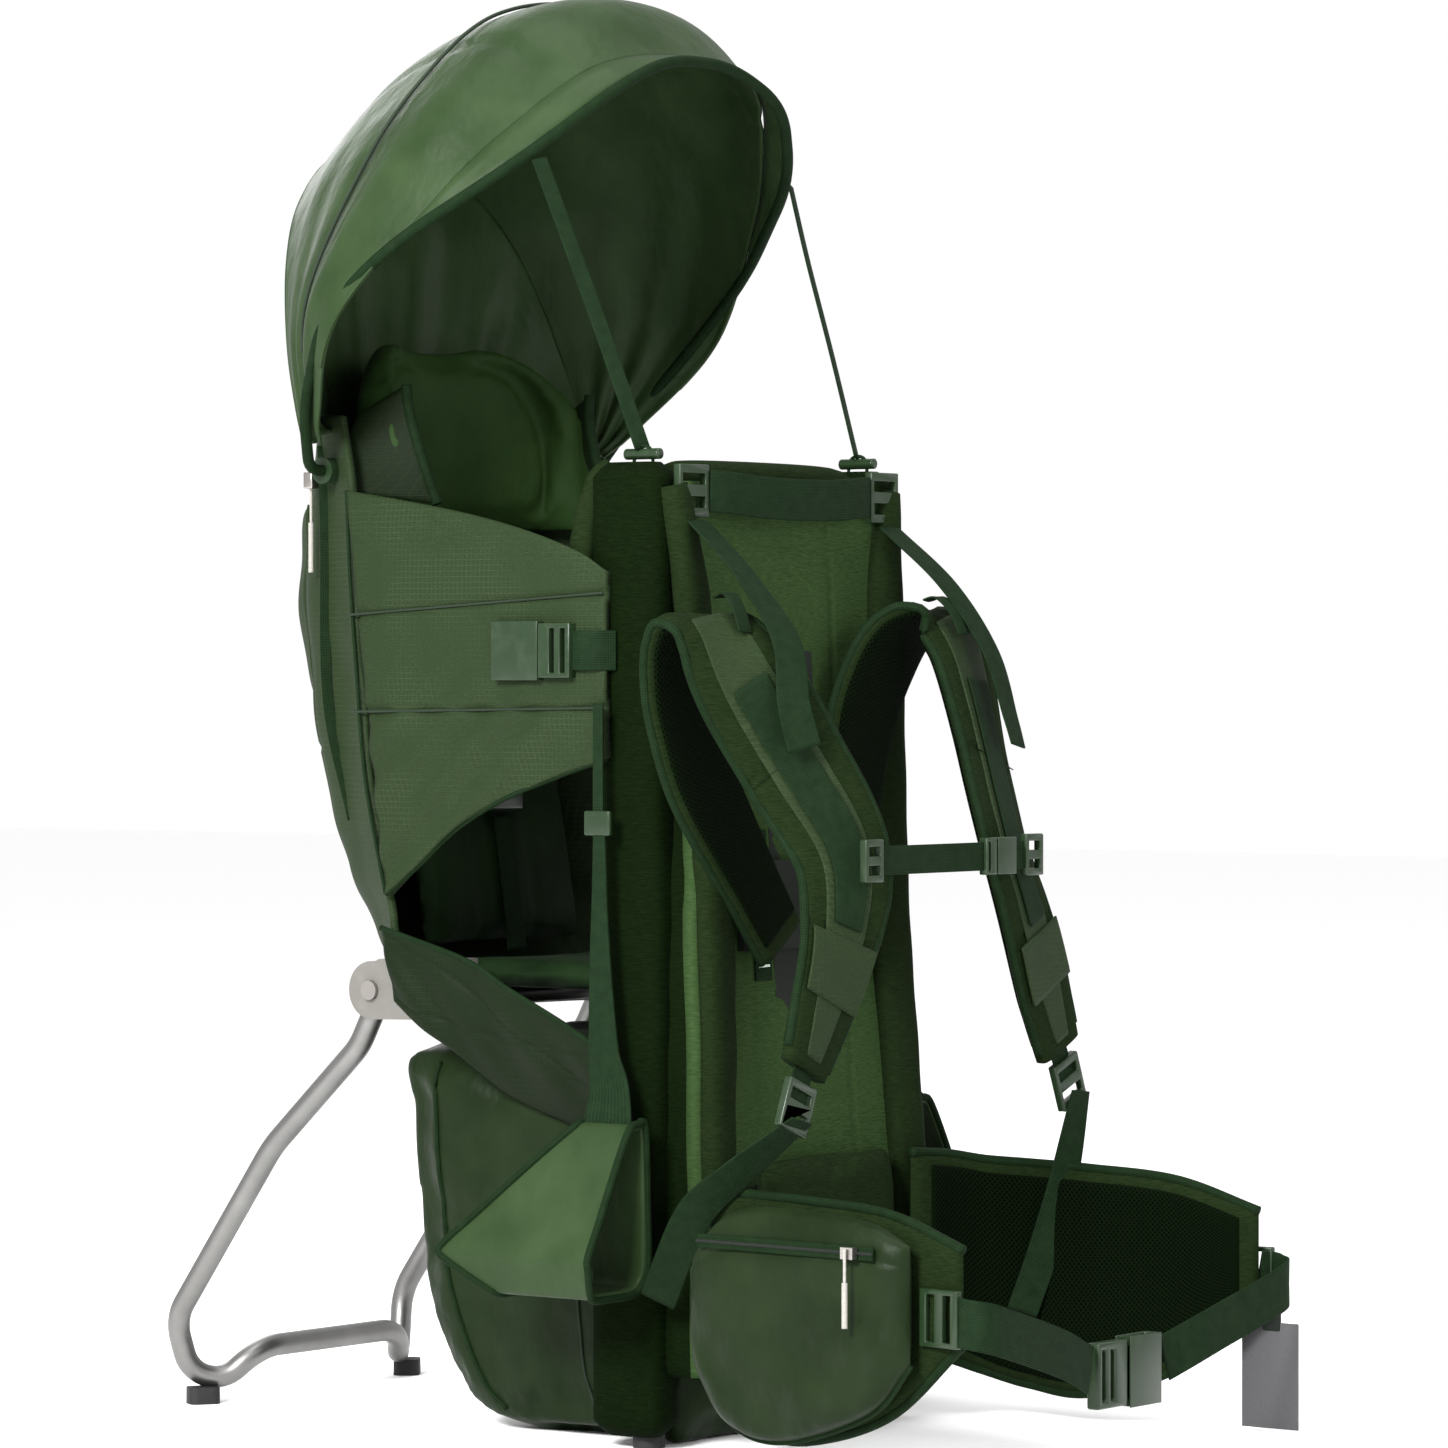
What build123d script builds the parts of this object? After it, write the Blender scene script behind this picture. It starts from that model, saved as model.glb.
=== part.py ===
from build123d import *
import os
from math import cos, hypot, radians, sin, tan

# Framed child carrier worn on the back. Millimetres, +Z up, floor at Z 0.
# -Y is the wearer's side (shoulder straps and hip belt), +Y the kickstand side, -X the wearer's right.
# The origin is the centre of the footprint, on the floor.

# Aluminium frame: an inverted U whose legs stand on rubber feet.
TUBE_R = 9.5
TUBE_WALL = 1.5
FRAME_X = 140
FRAME_Y = -62
FRAME_TOP = 778
FRAME_BEND = 50
FOOT_HEIGHT = 14
FOOT_R = 13
CROSS_R = 8
BASE_CROSS_Z = 60

# Kickstand: a U of tube that turns on two bolts at PIVOT_Y, PIVOT_Z.
LEG_X = 150
PIVOT_Y = 208
PIVOT_Z = 360
BOLT_R = 4
BOLT_PLAY = 0.05
CHEEK = 5
BRACKET_HALF = 16
RAIL_X = 146
REAR_CROSS_Y = 150
REAR_CROSS_Z = 354

# Back panel: its front face leans from PANEL_TOP_Y at PANEL_TOP_Z forward to the foot.
PANEL_TOP_Z = 770
PANEL_FOOT_Z = 60
PANEL_TOP_Y = -86
PANEL_FOOT_Y = -126
PANEL_THICK = 14
PANEL_LEAN = (PANEL_TOP_Y - PANEL_FOOT_Y) / (PANEL_TOP_Z - PANEL_FOOT_Z)

# Padded covers round the frame legs, and the cockpit's side panels outside them.
COVER_INNER = 130
COVER_OUTER = 168
COVER_FRONT = -90
COVER_REAR = -20
SIDE_INNER = 168.5
SIDE_OUTER = 178

# Canopy: hoop and roof turn about this line, parallel to X.
CANOPY_Y = 257
CANOPY_Z = 790
HOOP_R = 3.5
ROOF_THICK = 3

# Webbing and straps.
PAD_WIDTH = 80
PAD_THICK = 16
WEB_THICK = 1.6
LIFTER_WIDTH = 28
HANDLE_WIDTH = 34
BELT_WIDTH = 38
CANOPY_STRAP_WIDTH = 14

# Hip buckle and prongs.
BUCKLE_Y = -425
BUCKLE_Z = 73


def panel_front(z):
    """Y of the back panel's front face at height z."""
    return PANEL_TOP_Y - (PANEL_TOP_Z - z) * PANEL_LEAN


def box(x, y, z):
    """A box between two X, two Y and two Z values."""
    size = [pair[1] - pair[0] for pair in (x, y, z)]
    return Pos(x[0], y[0], z[0]) * Box(*size, align=(Align.MIN, Align.MIN, Align.MIN))


def rod_x(x, y, z, radius):
    """A round bar along X between two X values."""
    return Plane.YZ.offset(x[0]) * Pos(y, z, 0) * extrude(Circle(radius), amount=x[1] - x[0])


def side_prism(outline, x):
    """A Y-Z outline, extruded between two X values."""
    face = Plane.YZ.offset(x[0]) * make_face(Polyline(*outline, close=True))
    return extrude(face, amount=x[1] - x[0], dir=(1, 0, 0))


def front_prism(outline, y):
    """An X-Z outline, extruded between two Y values."""
    face = Plane.XZ.offset(-y[0]) * make_face(Polyline(*outline, close=True))
    return extrude(face, amount=y[1] - y[0], dir=(0, 1, 0))


def polygon(points):
    """A flat face through points of space."""
    return make_face(Polyline(*points, close=True))


def both(solid):
    """A solid and its mirror image on the other side, as one group."""
    return Compound(children=[Compound(s.wrapped) for s in pieces(solid) + pieces(mirror(solid, Plane.YZ))])


def pieces(shape):
    """The shape's solids."""
    return list(shape.solids())


def group(*shapes):
    """Several separate solids as one node."""
    return Compound(children=[s for shape in shapes for s in pieces(shape)])


def largest_bends(points):
    """Straight runs joined by arcs as large as the runs allow."""
    route = [Vector(*p) for p in points]
    radii = []
    for before, here, after in zip(route, route[1:], route[2:]):
        half_turn = radians((here - before).get_angle(after - here)) / 2
        radii.append(0.45 * min((here - before).length, (after - here).length) / tan(half_turn))
    return FilletPolyline(*route, radius=radii)


def bar(path, radius):
    """A solid round bar along a path."""
    return sweep(Plane(origin=path @ 0, z_dir=path % 0) * Circle(radius), path=path)


def strap(route, across, width, thick):
    """A flat strap through route; across is its width direction, width one number or one per point."""
    points = [Vector(*p) for p in route]
    sections = []
    for i, here in enumerate(points):
        along = (points[min(i + 1, len(points) - 1)] - points[max(i - 1, 0)]).normalized()
        side = Vector(*(across[i] if isinstance(across, list) else across))
        side = (side - along * side.dot(along)).normalized()
        wide = width[i] if isinstance(width, list) else width
        sections.append(Plane(origin=here, x_dir=side, z_dir=along) * Rectangle(wide, thick))
    return loft(sections, ruled=True)


def wall(stations, thick):
    """An upright wall lofted through horizontal bands; a station is z and half of a plan line."""
    sections = []
    for z, half in stations:
        outer = [(-x, y, z) for x, y in half] + [(x, y, z) for x, y in half[-2::-1]]
        half_inner = [(x - thick * (x > 0), y - thick * (i > 0)) for i, (x, y) in enumerate(half)]
        inner = [(x, y, z) for x, y in half_inner] + [(-x, y, z) for x, y in half_inner[-2::-1]]
        sections.append(polygon(outer + inner))
    return loft(sections, ruled=True)


# --- Frame -----------------------------------------------------------------------------------

def make_frame_tube():
    path = FilletPolyline(
        (-FRAME_X, FRAME_Y, FOOT_HEIGHT), (-FRAME_X, FRAME_Y, FRAME_TOP),
        (FRAME_X, FRAME_Y, FRAME_TOP), (FRAME_X, FRAME_Y, FOOT_HEIGHT), radius=FRAME_BEND)
    return bar(path, TUBE_R), bar(path, TUBE_R - TUBE_WALL)


frame_solid, frame_bore = make_frame_tube()
frame_tube = frame_solid - frame_bore

foot = Pos(FRAME_X, FRAME_Y, 0) * extrude(Circle(FOOT_R), amount=30)
frame_feet = both(foot - frame_solid)

base_cross = rod_x((-FRAME_X, FRAME_X), FRAME_Y, BASE_CROSS_Z, CROSS_R) - frame_solid
rear_cross = rod_x((-LEG_X + BRACKET_HALF, LEG_X - BRACKET_HALF), REAR_CROSS_Y, REAR_CROSS_Z, CROSS_R)

RAIL_FRONT = (RAIL_X, FRAME_Y, 300)
RAIL_REAR = (RAIL_X, 160, 368)
seat_rail = bar(Line(RAIL_FRONT, RAIL_REAR), CROSS_R) - frame_solid
seat_rails = both(seat_rail)


def make_bracket():
    """A clevis: a block that holds the seat rail, and two cheeks round the kickstand's end."""
    low, high = LEG_X - BRACKET_HALF, LEG_X + BRACKET_HALF
    block = side_prism([(120, 338), (120, 388), (200, 386), (226, 372), (226, 350), (206, 336)], (low, high))
    block += rod_x((low, high), PIVOT_Y, PIVOT_Z, 24)
    slot = (low + CHEEK, high - CHEEK)
    block -= rod_x(slot, PIVOT_Y, PIVOT_Z, 18)
    block -= box(slot, (182, 250), (300, PIVOT_Z))
    block -= box(slot, (PIVOT_Y, 250), (300, PIVOT_Z + 18))
    return block - rod_x((low - 1, high + 1), PIVOT_Y, PIVOT_Z, BOLT_R) - seat_rail


kickstand_brackets = both(make_bracket())

bolt = rod_x((LEG_X - 20, LEG_X + 17), PIVOT_Y, PIVOT_Z, BOLT_R)
bolt += rod_x((LEG_X + BRACKET_HALF, LEG_X + BRACKET_HALF + 4), PIVOT_Y, PIVOT_Z, 8)
bolt += rod_x((LEG_X - BRACKET_HALF - 4, LEG_X - BRACKET_HALF), PIVOT_Y, PIVOT_Z, 7)
kickstand_bolts = both(bolt)

# --- Kickstand -------------------------------------------------------------------------------

STAND_HALF = [(-LEG_X, 202, 372), (-LEG_X, 234, 312), (-LEG_X, 330, 224), (-LEG_X, 440, 72),
              (-132, 430, -2), (-92, 396, 46)]
STAND_BENDS = [60, 120, 42, 28, 46]
stand_path = FilletPolyline(*STAND_HALF, *[(-x, y, z) for x, y, z in reversed(STAND_HALF)],
                            radius=STAND_BENDS + STAND_BENDS[::-1])
stand_solid = bar(stand_path, TUBE_R)
stand_bore = bar(stand_path, TUBE_R - TUBE_WALL)
bolt_hole = rod_x((-LEG_X - 20, LEG_X + 20), PIVOT_Y, PIVOT_Z, BOLT_R + BOLT_PLAY)
kickstand_tube = stand_solid - stand_bore - bolt_hole

clip = Pos(135, 422, 0) * extrude(Rot(0, 0, 35) * RectangleRounded(27, 23, 7), amount=14)
kickstand_clips = both(clip - stand_solid)

# --- Fabric body of the carrier --------------------------------------------------------------

cover = box((COVER_INNER, COVER_OUTER), (COVER_FRONT, COVER_REAR), (16, 790))
cover = fillet(cover.edges().filter_by(Axis.Z), 14)
cover = cover - frame_solid - seat_rail - base_cross - foot
column_covers = both(cover)

panel_low = Plane.XY.offset(PANEL_FOOT_Z) * Pos(0, PANEL_FOOT_Y + PANEL_THICK / 2) * Rectangle(316, PANEL_THICK)
panel_high = Plane.XY.offset(PANEL_TOP_Z) * Pos(0, PANEL_TOP_Y + PANEL_THICK / 2) * Rectangle(256, PANEL_THICK)
back_panel = loft([panel_low, panel_high], ruled=True) - column_covers

TRACK = (330, 640)
track_line = [(panel_front(z), z) for z in TRACK]
torso_track = side_prism(track_line + [(y - 2, z) for y, z in reversed(track_line)], (-35, 35))

SIDE_OUTLINE = [(226, 773), (92, 750), (-1, 725), (-46, 703), (-46, 559), (40, 532), (124, 494),
                (183, 444), (205, 520), (218, 600)]
left_side_panel = side_prism(SIDE_OUTLINE, (SIDE_INNER, SIDE_OUTER))
right_side_panel = mirror(left_side_panel, Plane.YZ)

SHELL_THICK = 9
REAR_SHELL = [
    (391, [(167, 190), (124, 237), (65, 250), (0, 254)]),
    (482, [(167, 206), (122, 281), (65, 302), (0, 308)]),
    (566, [(167, 214), (122, 305), (65, 334), (0, 342)]),
    (700, [(167, 220), (124, 316), (65, 344), (0, 352)]),
    (832, [(158, 262), (122, 304), (65, 332), (0, 341)]),
]
rear_shell = wall(REAR_SHELL, SHELL_THICK)

rear_pocket = wall([(600, [(96, 330), (60, 347), (0, 356)]), (640, [(104, 336), (62, 358), (0, 368)]),
                    (740, [(100, 338), (60, 358), (0, 367)]), (765, [(92, 334), (58, 352), (0, 360)])], 7)
rear_pocket -= rear_shell

BAG_OUTLINE = [(-88, 3), (111, 3), (137, 39), (164, 104), (180, 185), (194, 268), (196, 318), (-88, 318)]
BAG_INSIDE = [(-84, 7), (108, 7), (133, 41), (160, 106), (176, 186), (190, 268), (192, 330), (-84, 330)]
lower_bag = side_prism(BAG_OUTLINE, (-128, 128)) - side_prism(BAG_INSIDE, (-124, 124)) - base_cross - frame_solid
lower_bag -= frame_feet

seat_base = box((-116, 116), (-14, 186), (364, 384))
SEAT_BACK_SLOPE = 1 / 6


def seat_back_front(z):
    """Y of the seat back's front face at height z."""
    return 195 + (z - 400) * SEAT_BACK_SLOPE


seat_back = side_prism([(seat_back_front(386), 386), (seat_back_front(735), 735),
                        (seat_back_front(735) + 18, 735), (seat_back_front(386) + 18, 386)], (-108, 108))
headrest = wall([(740, [(132, 196), (120, 262), (70, 284), (0, 291)]),
                 (835, [(132, 200), (120, 262), (70, 284), (0, 291)]),
                 (885, [(104, 236), (90, 272), (55, 287), (0, 291)]),
                 (904, [(60, 272), (50, 286), (30, 289), (0, 291)])], 15)
chest_pad = box((-96, 96), (-47, -18), (600, 766))

harness_strap = strap([(48, seat_back_front(720) - 4, 720), (40, seat_back_front(640) - 4, 640),
                       (14, seat_back_front(557) - 9, 557)], (1, 0, 0), 24, WEB_THICK)
crotch_strap = strap([(0, seat_back_front(501) - 9, 501), (0, seat_back_front(440) - 8, 440),
                      (0, seat_back_front(386) - 6, 386)], (1, 0, 0), 24, WEB_THICK)
child_harness = group(both(harness_strap), crotch_strap)
child_buckle = box((-24, 24), (seat_back_front(528) - 18, seat_back_front(528) - 5), (506, 551))

# --- Cockpit side buckles --------------------------------------------------------------------

# Socket, plug and the plug's two sprung prongs; the strap runs forward to the frame cover.
BUCKLE_X = (178.5, 189)
side_socket = box(BUCKLE_X, (14, 62), (616, 664)) - box((180.5, 187), (13, 56), (620, 660))
side_plug = box(BUCKLE_X, (-19, 13.5), (618, 662)) - box((177, 190), (-14, -9), (622, 658))
side_plug -= box((177, 190), (-3, 2), (622, 658))
side_web = box((183, 184.6), (-46, -19.2), (624, 656))
cockpit_sockets = both(side_socket)
cockpit_plugs = both(side_plug)
cockpit_webbing = both(side_web)


def side_prong(z):
    """One prong of the side buckles' plug, inside the socket's mouth."""
    return box((181, 186.5), (14.2, 50), (z - 4, z + 4))


upper_prong_right = mirror(side_prong(652), Plane.YZ)
lower_prong_right = mirror(side_prong(628), Plane.YZ)
upper_prong_left = side_prong(652)
lower_prong_left = side_prong(628)

# --- Top adjusters, haul handle, harness -----------------------------------------------------


def ladder_lock(width, height, thick):
    """A slotted plastic buckle, lying in X-Z: two cross slots between its rails."""
    plate = Box(width, thick, height)
    slot = Box(width - 8, thick + 2, height * 0.22)
    return plate - Pos(0, 0, height * 0.22) * slot - Pos(0, 0, -height * 0.22) * slot


top_adjuster = Pos(131, -98, 768) * ladder_lock(38, 42, 7)
top_adjusters = both(top_adjuster)
handle_route = [(-108, -101, 768), (-90, -107, 766), (90, -107, 766), (108, -101, 768)]
haul_handle = strap(handle_route, (0, 0, 1), HANDLE_WIDTH, 2.4)

YOKE = (398, 470)
YOKE_GAP = 2.4
yoke_line = [(panel_front(z) - YOKE_GAP, z) for z in YOKE]
shoulder_yoke = side_prism(yoke_line + [(y - 8, z) for y, z in reversed(yoke_line)], (-84, 84))

# Both straps share their front ends; the right one lies splayed outwards, the left one close in.
LEFT_STRAP_ROUTE = [(40, -126, 405), (46, -124, 470), (62, -121, 556), (86, -121, 612), (112, -129, 650),
                    (128, -147, 668), (136, -164, 655), (138, -176, 625), (128, -202, 555), (114, -232, 485),
                    (132, -244, 415), (160, -244, 350), (178, -243, 312)]
LEFT_STRAP_ACROSS = [(1, 0, 0), (1, 0, 0), (1, 0, 0), (1, 0, 0), (1, 0, 0), (1, 0, 0), (1, 0, 0), (1, 0.12, 0),
                     (1, 0.25, 0), (1, 0.25, 0), (1, 0.15, 0), (1, 0.05, 0), (1, 0, 0)]
RIGHT_STRAP_ROUTE = [(-50, -126, 405), (-96, -124, 465), (-150, -121, 540), (-176, -122, 600), (-186, -130, 640),
                     (-190, -147, 662), (-188, -166, 652), (-178, -184, 618), (-140, -206, 550),
                     (-113, -232, 480), (-132, -244, 415), (-160, -244, 350), (-178, -243, 312)]
RIGHT_STRAP_ACROSS = [(1, 0, 0), (1, 0, 0), (1, 0, 0), (1, 0, 0), (1, -0.05, 0), (1, -0.15, 0), (0.95, -0.3, 0),
                      (0.85, -0.5, 0), (0.82, -0.57, 0), (0.9, -0.42, 0), (1, -0.15, 0), (1, -0.05, 0), (1, 0, 0)]
STRAP_WIDTH = [60, 66, 74, PAD_WIDTH, PAD_WIDTH, PAD_WIDTH, PAD_WIDTH, PAD_WIDTH, PAD_WIDTH, PAD_WIDTH,
               PAD_WIDTH, 70, 56]
left_shoulder_strap = strap(LEFT_STRAP_ROUTE, LEFT_STRAP_ACROSS, STRAP_WIDTH, PAD_THICK) - shoulder_yoke
right_shoulder_strap = strap(RIGHT_STRAP_ROUTE, RIGHT_STRAP_ACROSS, STRAP_WIDTH, PAD_THICK) - shoulder_yoke

lower_adjuster = Pos(190, -245, 284) * Rot(0, -22, 0) * ladder_lock(36, 40, 7)
lower_adjuster -= left_shoulder_strap
lower_adjusters = both(lower_adjuster)

left_lifter = strap([(131, -104, 744), (140, -158, 696), (147, -197, 640), (143, -220, 585), (141, -229, 562)],
                    [(1, 0, 0), (1, 0, 0), (1, 0.1, 0), (1, 0.2, 0), (1, 0.25, 0)], LIFTER_WIDTH, WEB_THICK)
right_lifter = strap([(-131, -104, 744), (-140, -158, 700), (-150, -206, 648), (-160, -221, 598),
                      (-152, -226, 562)],
                     [(1, 0, 0), (1, 0, 0), (0.95, -0.3, 0), (0.85, -0.5, 0), (0.82, -0.57, 0)],
                     LIFTER_WIDTH, WEB_THICK)

lower_web = strap([(197, -249, 256), (208, -200, 230), (206, -156, 194), (184, -108, 124)],
                  [(1, 0, 0), (0.9, -0.3, 0.2), (0.7, -0.5, 0.4), (0.4, -0.6, 0.6)], 24, WEB_THICK)
lower_webbing = both(lower_web)

# --- Sternum strap ---------------------------------------------------------------------------

STERNUM_Z = 474
STERNUM_Y = -262
slider = Pos(112, STERNUM_Y, STERNUM_Z) * ladder_lock(24, 34, 7)
sternum_sliders = both(slider)
SOCKET_X = (58, 84)
PLUG_X = (42, 57.6)
sternum_webbing = group(
    box((-99.5, PLUG_X[0]), (STERNUM_Y - 0.8, STERNUM_Y + 0.8), (STERNUM_Z - 12, STERNUM_Z + 12)),
    box((SOCKET_X[1], 99.5), (STERNUM_Y - 0.8, STERNUM_Y + 0.8), (STERNUM_Z - 12, STERNUM_Z + 12)))


def front_socket(x, y, z, height, thick):
    """A buckle socket open towards -X, with side windows over the prongs."""
    shell = box(x, (y - thick / 2, y + thick / 2), (z - height / 2, z + height / 2))
    shell -= box((x[0] - 1, x[1] - 5), (y - thick / 2 + 1.6, y + thick / 2 - 1.6), (z - height, z + height))
    return shell


def front_prongs(x, y, z, height, thick):
    """The plug's two prongs, above and below, reaching into the socket."""
    depth = (y - thick / 2 + 2, y + thick / 2 - 2)
    upper = box(x, depth, (z + height / 2 - 6, z + height / 2))
    lower = box(x, depth, (z - height / 2, z - height / 2 + 6))
    return upper, lower


sternum_socket = front_socket(SOCKET_X, STERNUM_Y, STERNUM_Z, 30, 9)
sternum_plug = box(PLUG_X, (STERNUM_Y - 4, STERNUM_Y + 4), (STERNUM_Z - 15, STERNUM_Z + 15))
sternum_plug -= box((45, 49), (STERNUM_Y - 6, STERNUM_Y + 6), (STERNUM_Z - 12, STERNUM_Z + 12))
sternum_upper_prong, sternum_lower_prong = front_prongs((57.8, 76), STERNUM_Y, STERNUM_Z, 28, 9)

# --- Hip belt --------------------------------------------------------------------------------

LUMBAR = [(76, 24), (226, 24), (238, 12), (238, 1), (76, 1)]
lumbar_pad = side_prism([(panel_front(z) - out, z) for z, out in LUMBAR], (-104, 104))

WING_LINE = [(104, -147), (150, -152), (181, -168), (193, -205), (197, -262), (203, -345), (211, -418)]
WING_LOW = [64, 52, 40, 30, 26, 52, 112]
WING_HIGH = [226, 222, 216, 214, 212, 206, 184]
WING_THICK = 18


def upright_loft(line, low, high, inner, outer):
    """A curved upright pad beside a plan line, between offsets inner and outer from it."""
    sections = []
    for i, (x, y) in enumerate(line):
        ahead, behind = line[min(i + 1, len(line) - 1)], line[max(i - 1, 0)]
        length = hypot(ahead[0] - behind[0], ahead[1] - behind[1])
        nx, ny = -(ahead[1] - behind[1]) / length, (ahead[0] - behind[0]) / length
        a = (x + nx * inner, y + ny * inner)
        b = (x + nx * outer, y + ny * outer)
        sections.append(polygon([(*a, low[i]), (*b, low[i]), (*b, high[i]), (*a, high[i])]))
    return loft(sections, ruled=True)


wing = upright_loft(WING_LINE, WING_LOW, WING_HIGH, -WING_THICK / 2, WING_THICK / 2)
left_hip_wing = wing - lumbar_pad
right_hip_wing = mirror(left_hip_wing, Plane.YZ)

POCKET_LINE = [(190, -180), (193, -205), (197, -262), (203, -345), (206, -372)]
POCKET_LOW = [60, 32, 28, 56, 74]
POCKET_HIGH = [168, 202, 208, 202, 192]
left_hip_pocket = upright_loft(POCKET_LINE, POCKET_LOW, POCKET_HIGH, 11, 42)
left_hip_pocket -= left_hip_wing
right_hip_pocket = mirror(left_hip_pocket, Plane.YZ)

belt_adjuster = Pos(221, -404, 132) * Rot(0, 0, -80) * Rot(0, 90, 0) * ladder_lock(44, 40, 6)
belt_adjusters = both(belt_adjuster - left_hip_wing)

BELT_ROUTE = [(225, -428, 130), (205, -446, 124), (110, -440, 98), (53, -429, 79)]
belt_half = strap(BELT_ROUTE, (0, 0, 1), BELT_WIDTH, WEB_THICK)
belt_webbing = both(belt_half)

HIP_SOCKET_X = (-1, 44)
hip_socket = front_socket(HIP_SOCKET_X, BUCKLE_Y, BUCKLE_Z, 56, 15)
hip_plug = box((-44, -1.4), (BUCKLE_Y - 6, BUCKLE_Y + 6), (BUCKLE_Z - 26, BUCKLE_Z + 26))
hip_plug -= box((-38, -32), (BUCKLE_Y - 8, BUCKLE_Y + 8), (BUCKLE_Z - 20, BUCKLE_Z + 20))
hip_plug -= box((-26, -20), (BUCKLE_Y - 8, BUCKLE_Y + 8), (BUCKLE_Z - 20, BUCKLE_Z + 20))
hip_upper_prong, hip_lower_prong = front_prongs((-1.2, 32), BUCKLE_Y, BUCKLE_Z, 54, 15)

# --- Zip sliders, pulls and hang tag ---------------------------------------------------------

# The pockets' outer faces run at this angle in plan; the zips lie along them.
ZIP_Z = 180
ZIP_DIR = (6 / hypot(6, 83), -83 / hypot(6, 83))
ZIP_START = (197 + 43 * -ZIP_DIR[1], -262 + 43 * ZIP_DIR[0])


def on_pocket(distance, out, z):
    """A point on the left pocket's outer face: distance forward along the zip, out from the face."""
    return (ZIP_START[0] + ZIP_DIR[0] * distance - ZIP_DIR[1] * out,
            ZIP_START[1] + ZIP_DIR[1] * distance + ZIP_DIR[0] * out, z)


ZIP_ANGLE = 4
ZIP_REST = 80
zip_slider = Pos(*on_pocket(ZIP_REST, 3.4, ZIP_Z)) * Rot(0, 0, ZIP_ANGLE) * Box(6, 12, 9)
zip_pull = Pos(*on_pocket(ZIP_REST, 8.2, ZIP_Z - 27)) * Rot(0, 0, ZIP_ANGLE) * Box(3, 7, 60)

left_zip_slider = zip_slider
right_zip_slider = mirror(zip_slider, Plane.YZ)
left_zip_pull = zip_pull
right_zip_pull = mirror(zip_pull, Plane.YZ)
rear_zip_pull = Pos(-150, 287, 742) * Rot(0, 0, 40) * Box(7, 3, 72)

tag_loop = strap([(236, -414, 146), (237, -415, 116), (237, -414, 92)], (0, 1, 0), 10, 2)
tag_card = box((236.2, 237.8), (-440, -386), (4, 91))
hang_tag = group(tag_loop, tag_card)

# --- Canopy ----------------------------------------------------------------------------------

HOOP_HALF = [(-161, CANOPY_Y, CANOPY_Z), (-187, CANOPY_Y, CANOPY_Z), (-216, 238, 838), (-252, 186, 914),
             (-240, 124, 968), (-176, 30, 1042), (-112, -10, 1098), (-42, -9, 1126)]
hoop_path = largest_bends(HOOP_HALF + [(-x, y, z) for x, y, z in reversed(HOOP_HALF)])
canopy_hoop = bar(hoop_path, HOOP_R)
hub = rod_x((148, 171), CANOPY_Y, CANOPY_Z, 11) - rod_x((140, 200), CANOPY_Y, CANOPY_Z, HOOP_R + BOLT_PLAY)
canopy_hubs = both(hub - rear_shell)

# Each arch is the angle forward of upright, and half of its line as X and distance from the pivot.
ROOF_ARCHES = [
    (36.5, [(190, 24), (214, 55), (256, 149), (216, 268), (174, 338), (106, 406), (0, 424)]),
    (27, [(190, 24), (213, 55), (252, 150), (216, 275), (175, 352), (105, 418), (0, 439)]),
    (18, [(190, 24), (208, 55), (240, 145), (208, 262), (165, 335), (100, 393), (0, 412)]),
    (5, [(190, 24), (201, 55), (216, 130), (190, 230), (150, 290), (90, 340), (0, 356)]),
    (-15, [(190, 24), (190, 55), (184, 110), (164, 180), (132, 235), (75, 280), (0, 294)]),
]


def arch(angle, half):
    """A thin arch-shaped face in the plane through the pivot line at an angle forward of upright."""
    def place(x, r):
        return (x, CANOPY_Y - r * sin(radians(angle)), CANOPY_Z + r * cos(radians(angle)))

    inner = [(x - ROOF_THICK * (x > 0), r - ROOF_THICK * (r > 60)) for x, r in half]
    outer_line = [place(-x, r) for x, r in half] + [place(x, r) for x, r in half[-2::-1]]
    inner_line = [place(x, r) for x, r in inner] + [place(-x, r) for x, r in inner[-2::-1]]
    return polygon(outer_line + inner_line)


canopy_roof = loft([arch(angle, half) for angle, half in ROOF_ARCHES], ruled=True) - canopy_hoop
canopy_curtain = wall([(836, [(160, 264), (124, 305), (66, 333), (0, 341)]),
                       (950, [(142, 302), (112, 316), (60, 334), (0, 340)]),
                       (1048, [(44, 334), (32, 335), (18, 336), (0, 336)])], 3)

STRAP_TOP = (170, 29, 1036)
STRAP_END = (147, -62, 803)
canopy_strap = strap([STRAP_TOP, STRAP_END], (0.9, 0.4, 0), CANOPY_STRAP_WIDTH, WEB_THICK)
toggle = Pos(147, -62, 797.5) * Rot(90, 0, 0) * Cylinder(4.5, 36)
canopy_straps = both(canopy_strap - canopy_hoop - toggle)
strap_toggles = both(toggle)

# --- Stirrups --------------------------------------------------------------------------------

stirrup_web = box((186, 187.6), (-57, -37), (322, 600))
stirrup_neck = front_prism([(184, 322), (190, 322), (200, 262), (192, 262)], (-86, -36))
STEP_OUTER = [(186, 262), (206, 262), (262, 160), (252, 130), (196, 130), (184, 150)]
STEP_INNER = [(190, 256), (203, 256), (256, 161), (248, 135), (199, 135), (189, 152)]
STEP_SIDE = [(-96, 264), (-36, 264), (66, 162), (6, 126), (-96, 126)]
step = (front_prism(STEP_OUTER, (-96, 66)) - front_prism(STEP_INNER, (-100, 70))) & side_prism(STEP_SIDE, (180, 270))
left_stirrup = group(stirrup_web, stirrup_neck + step)
right_stirrup = mirror(left_stirrup, Plane.YZ)

# --- Files -----------------------------------------------------------------------------------

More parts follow.
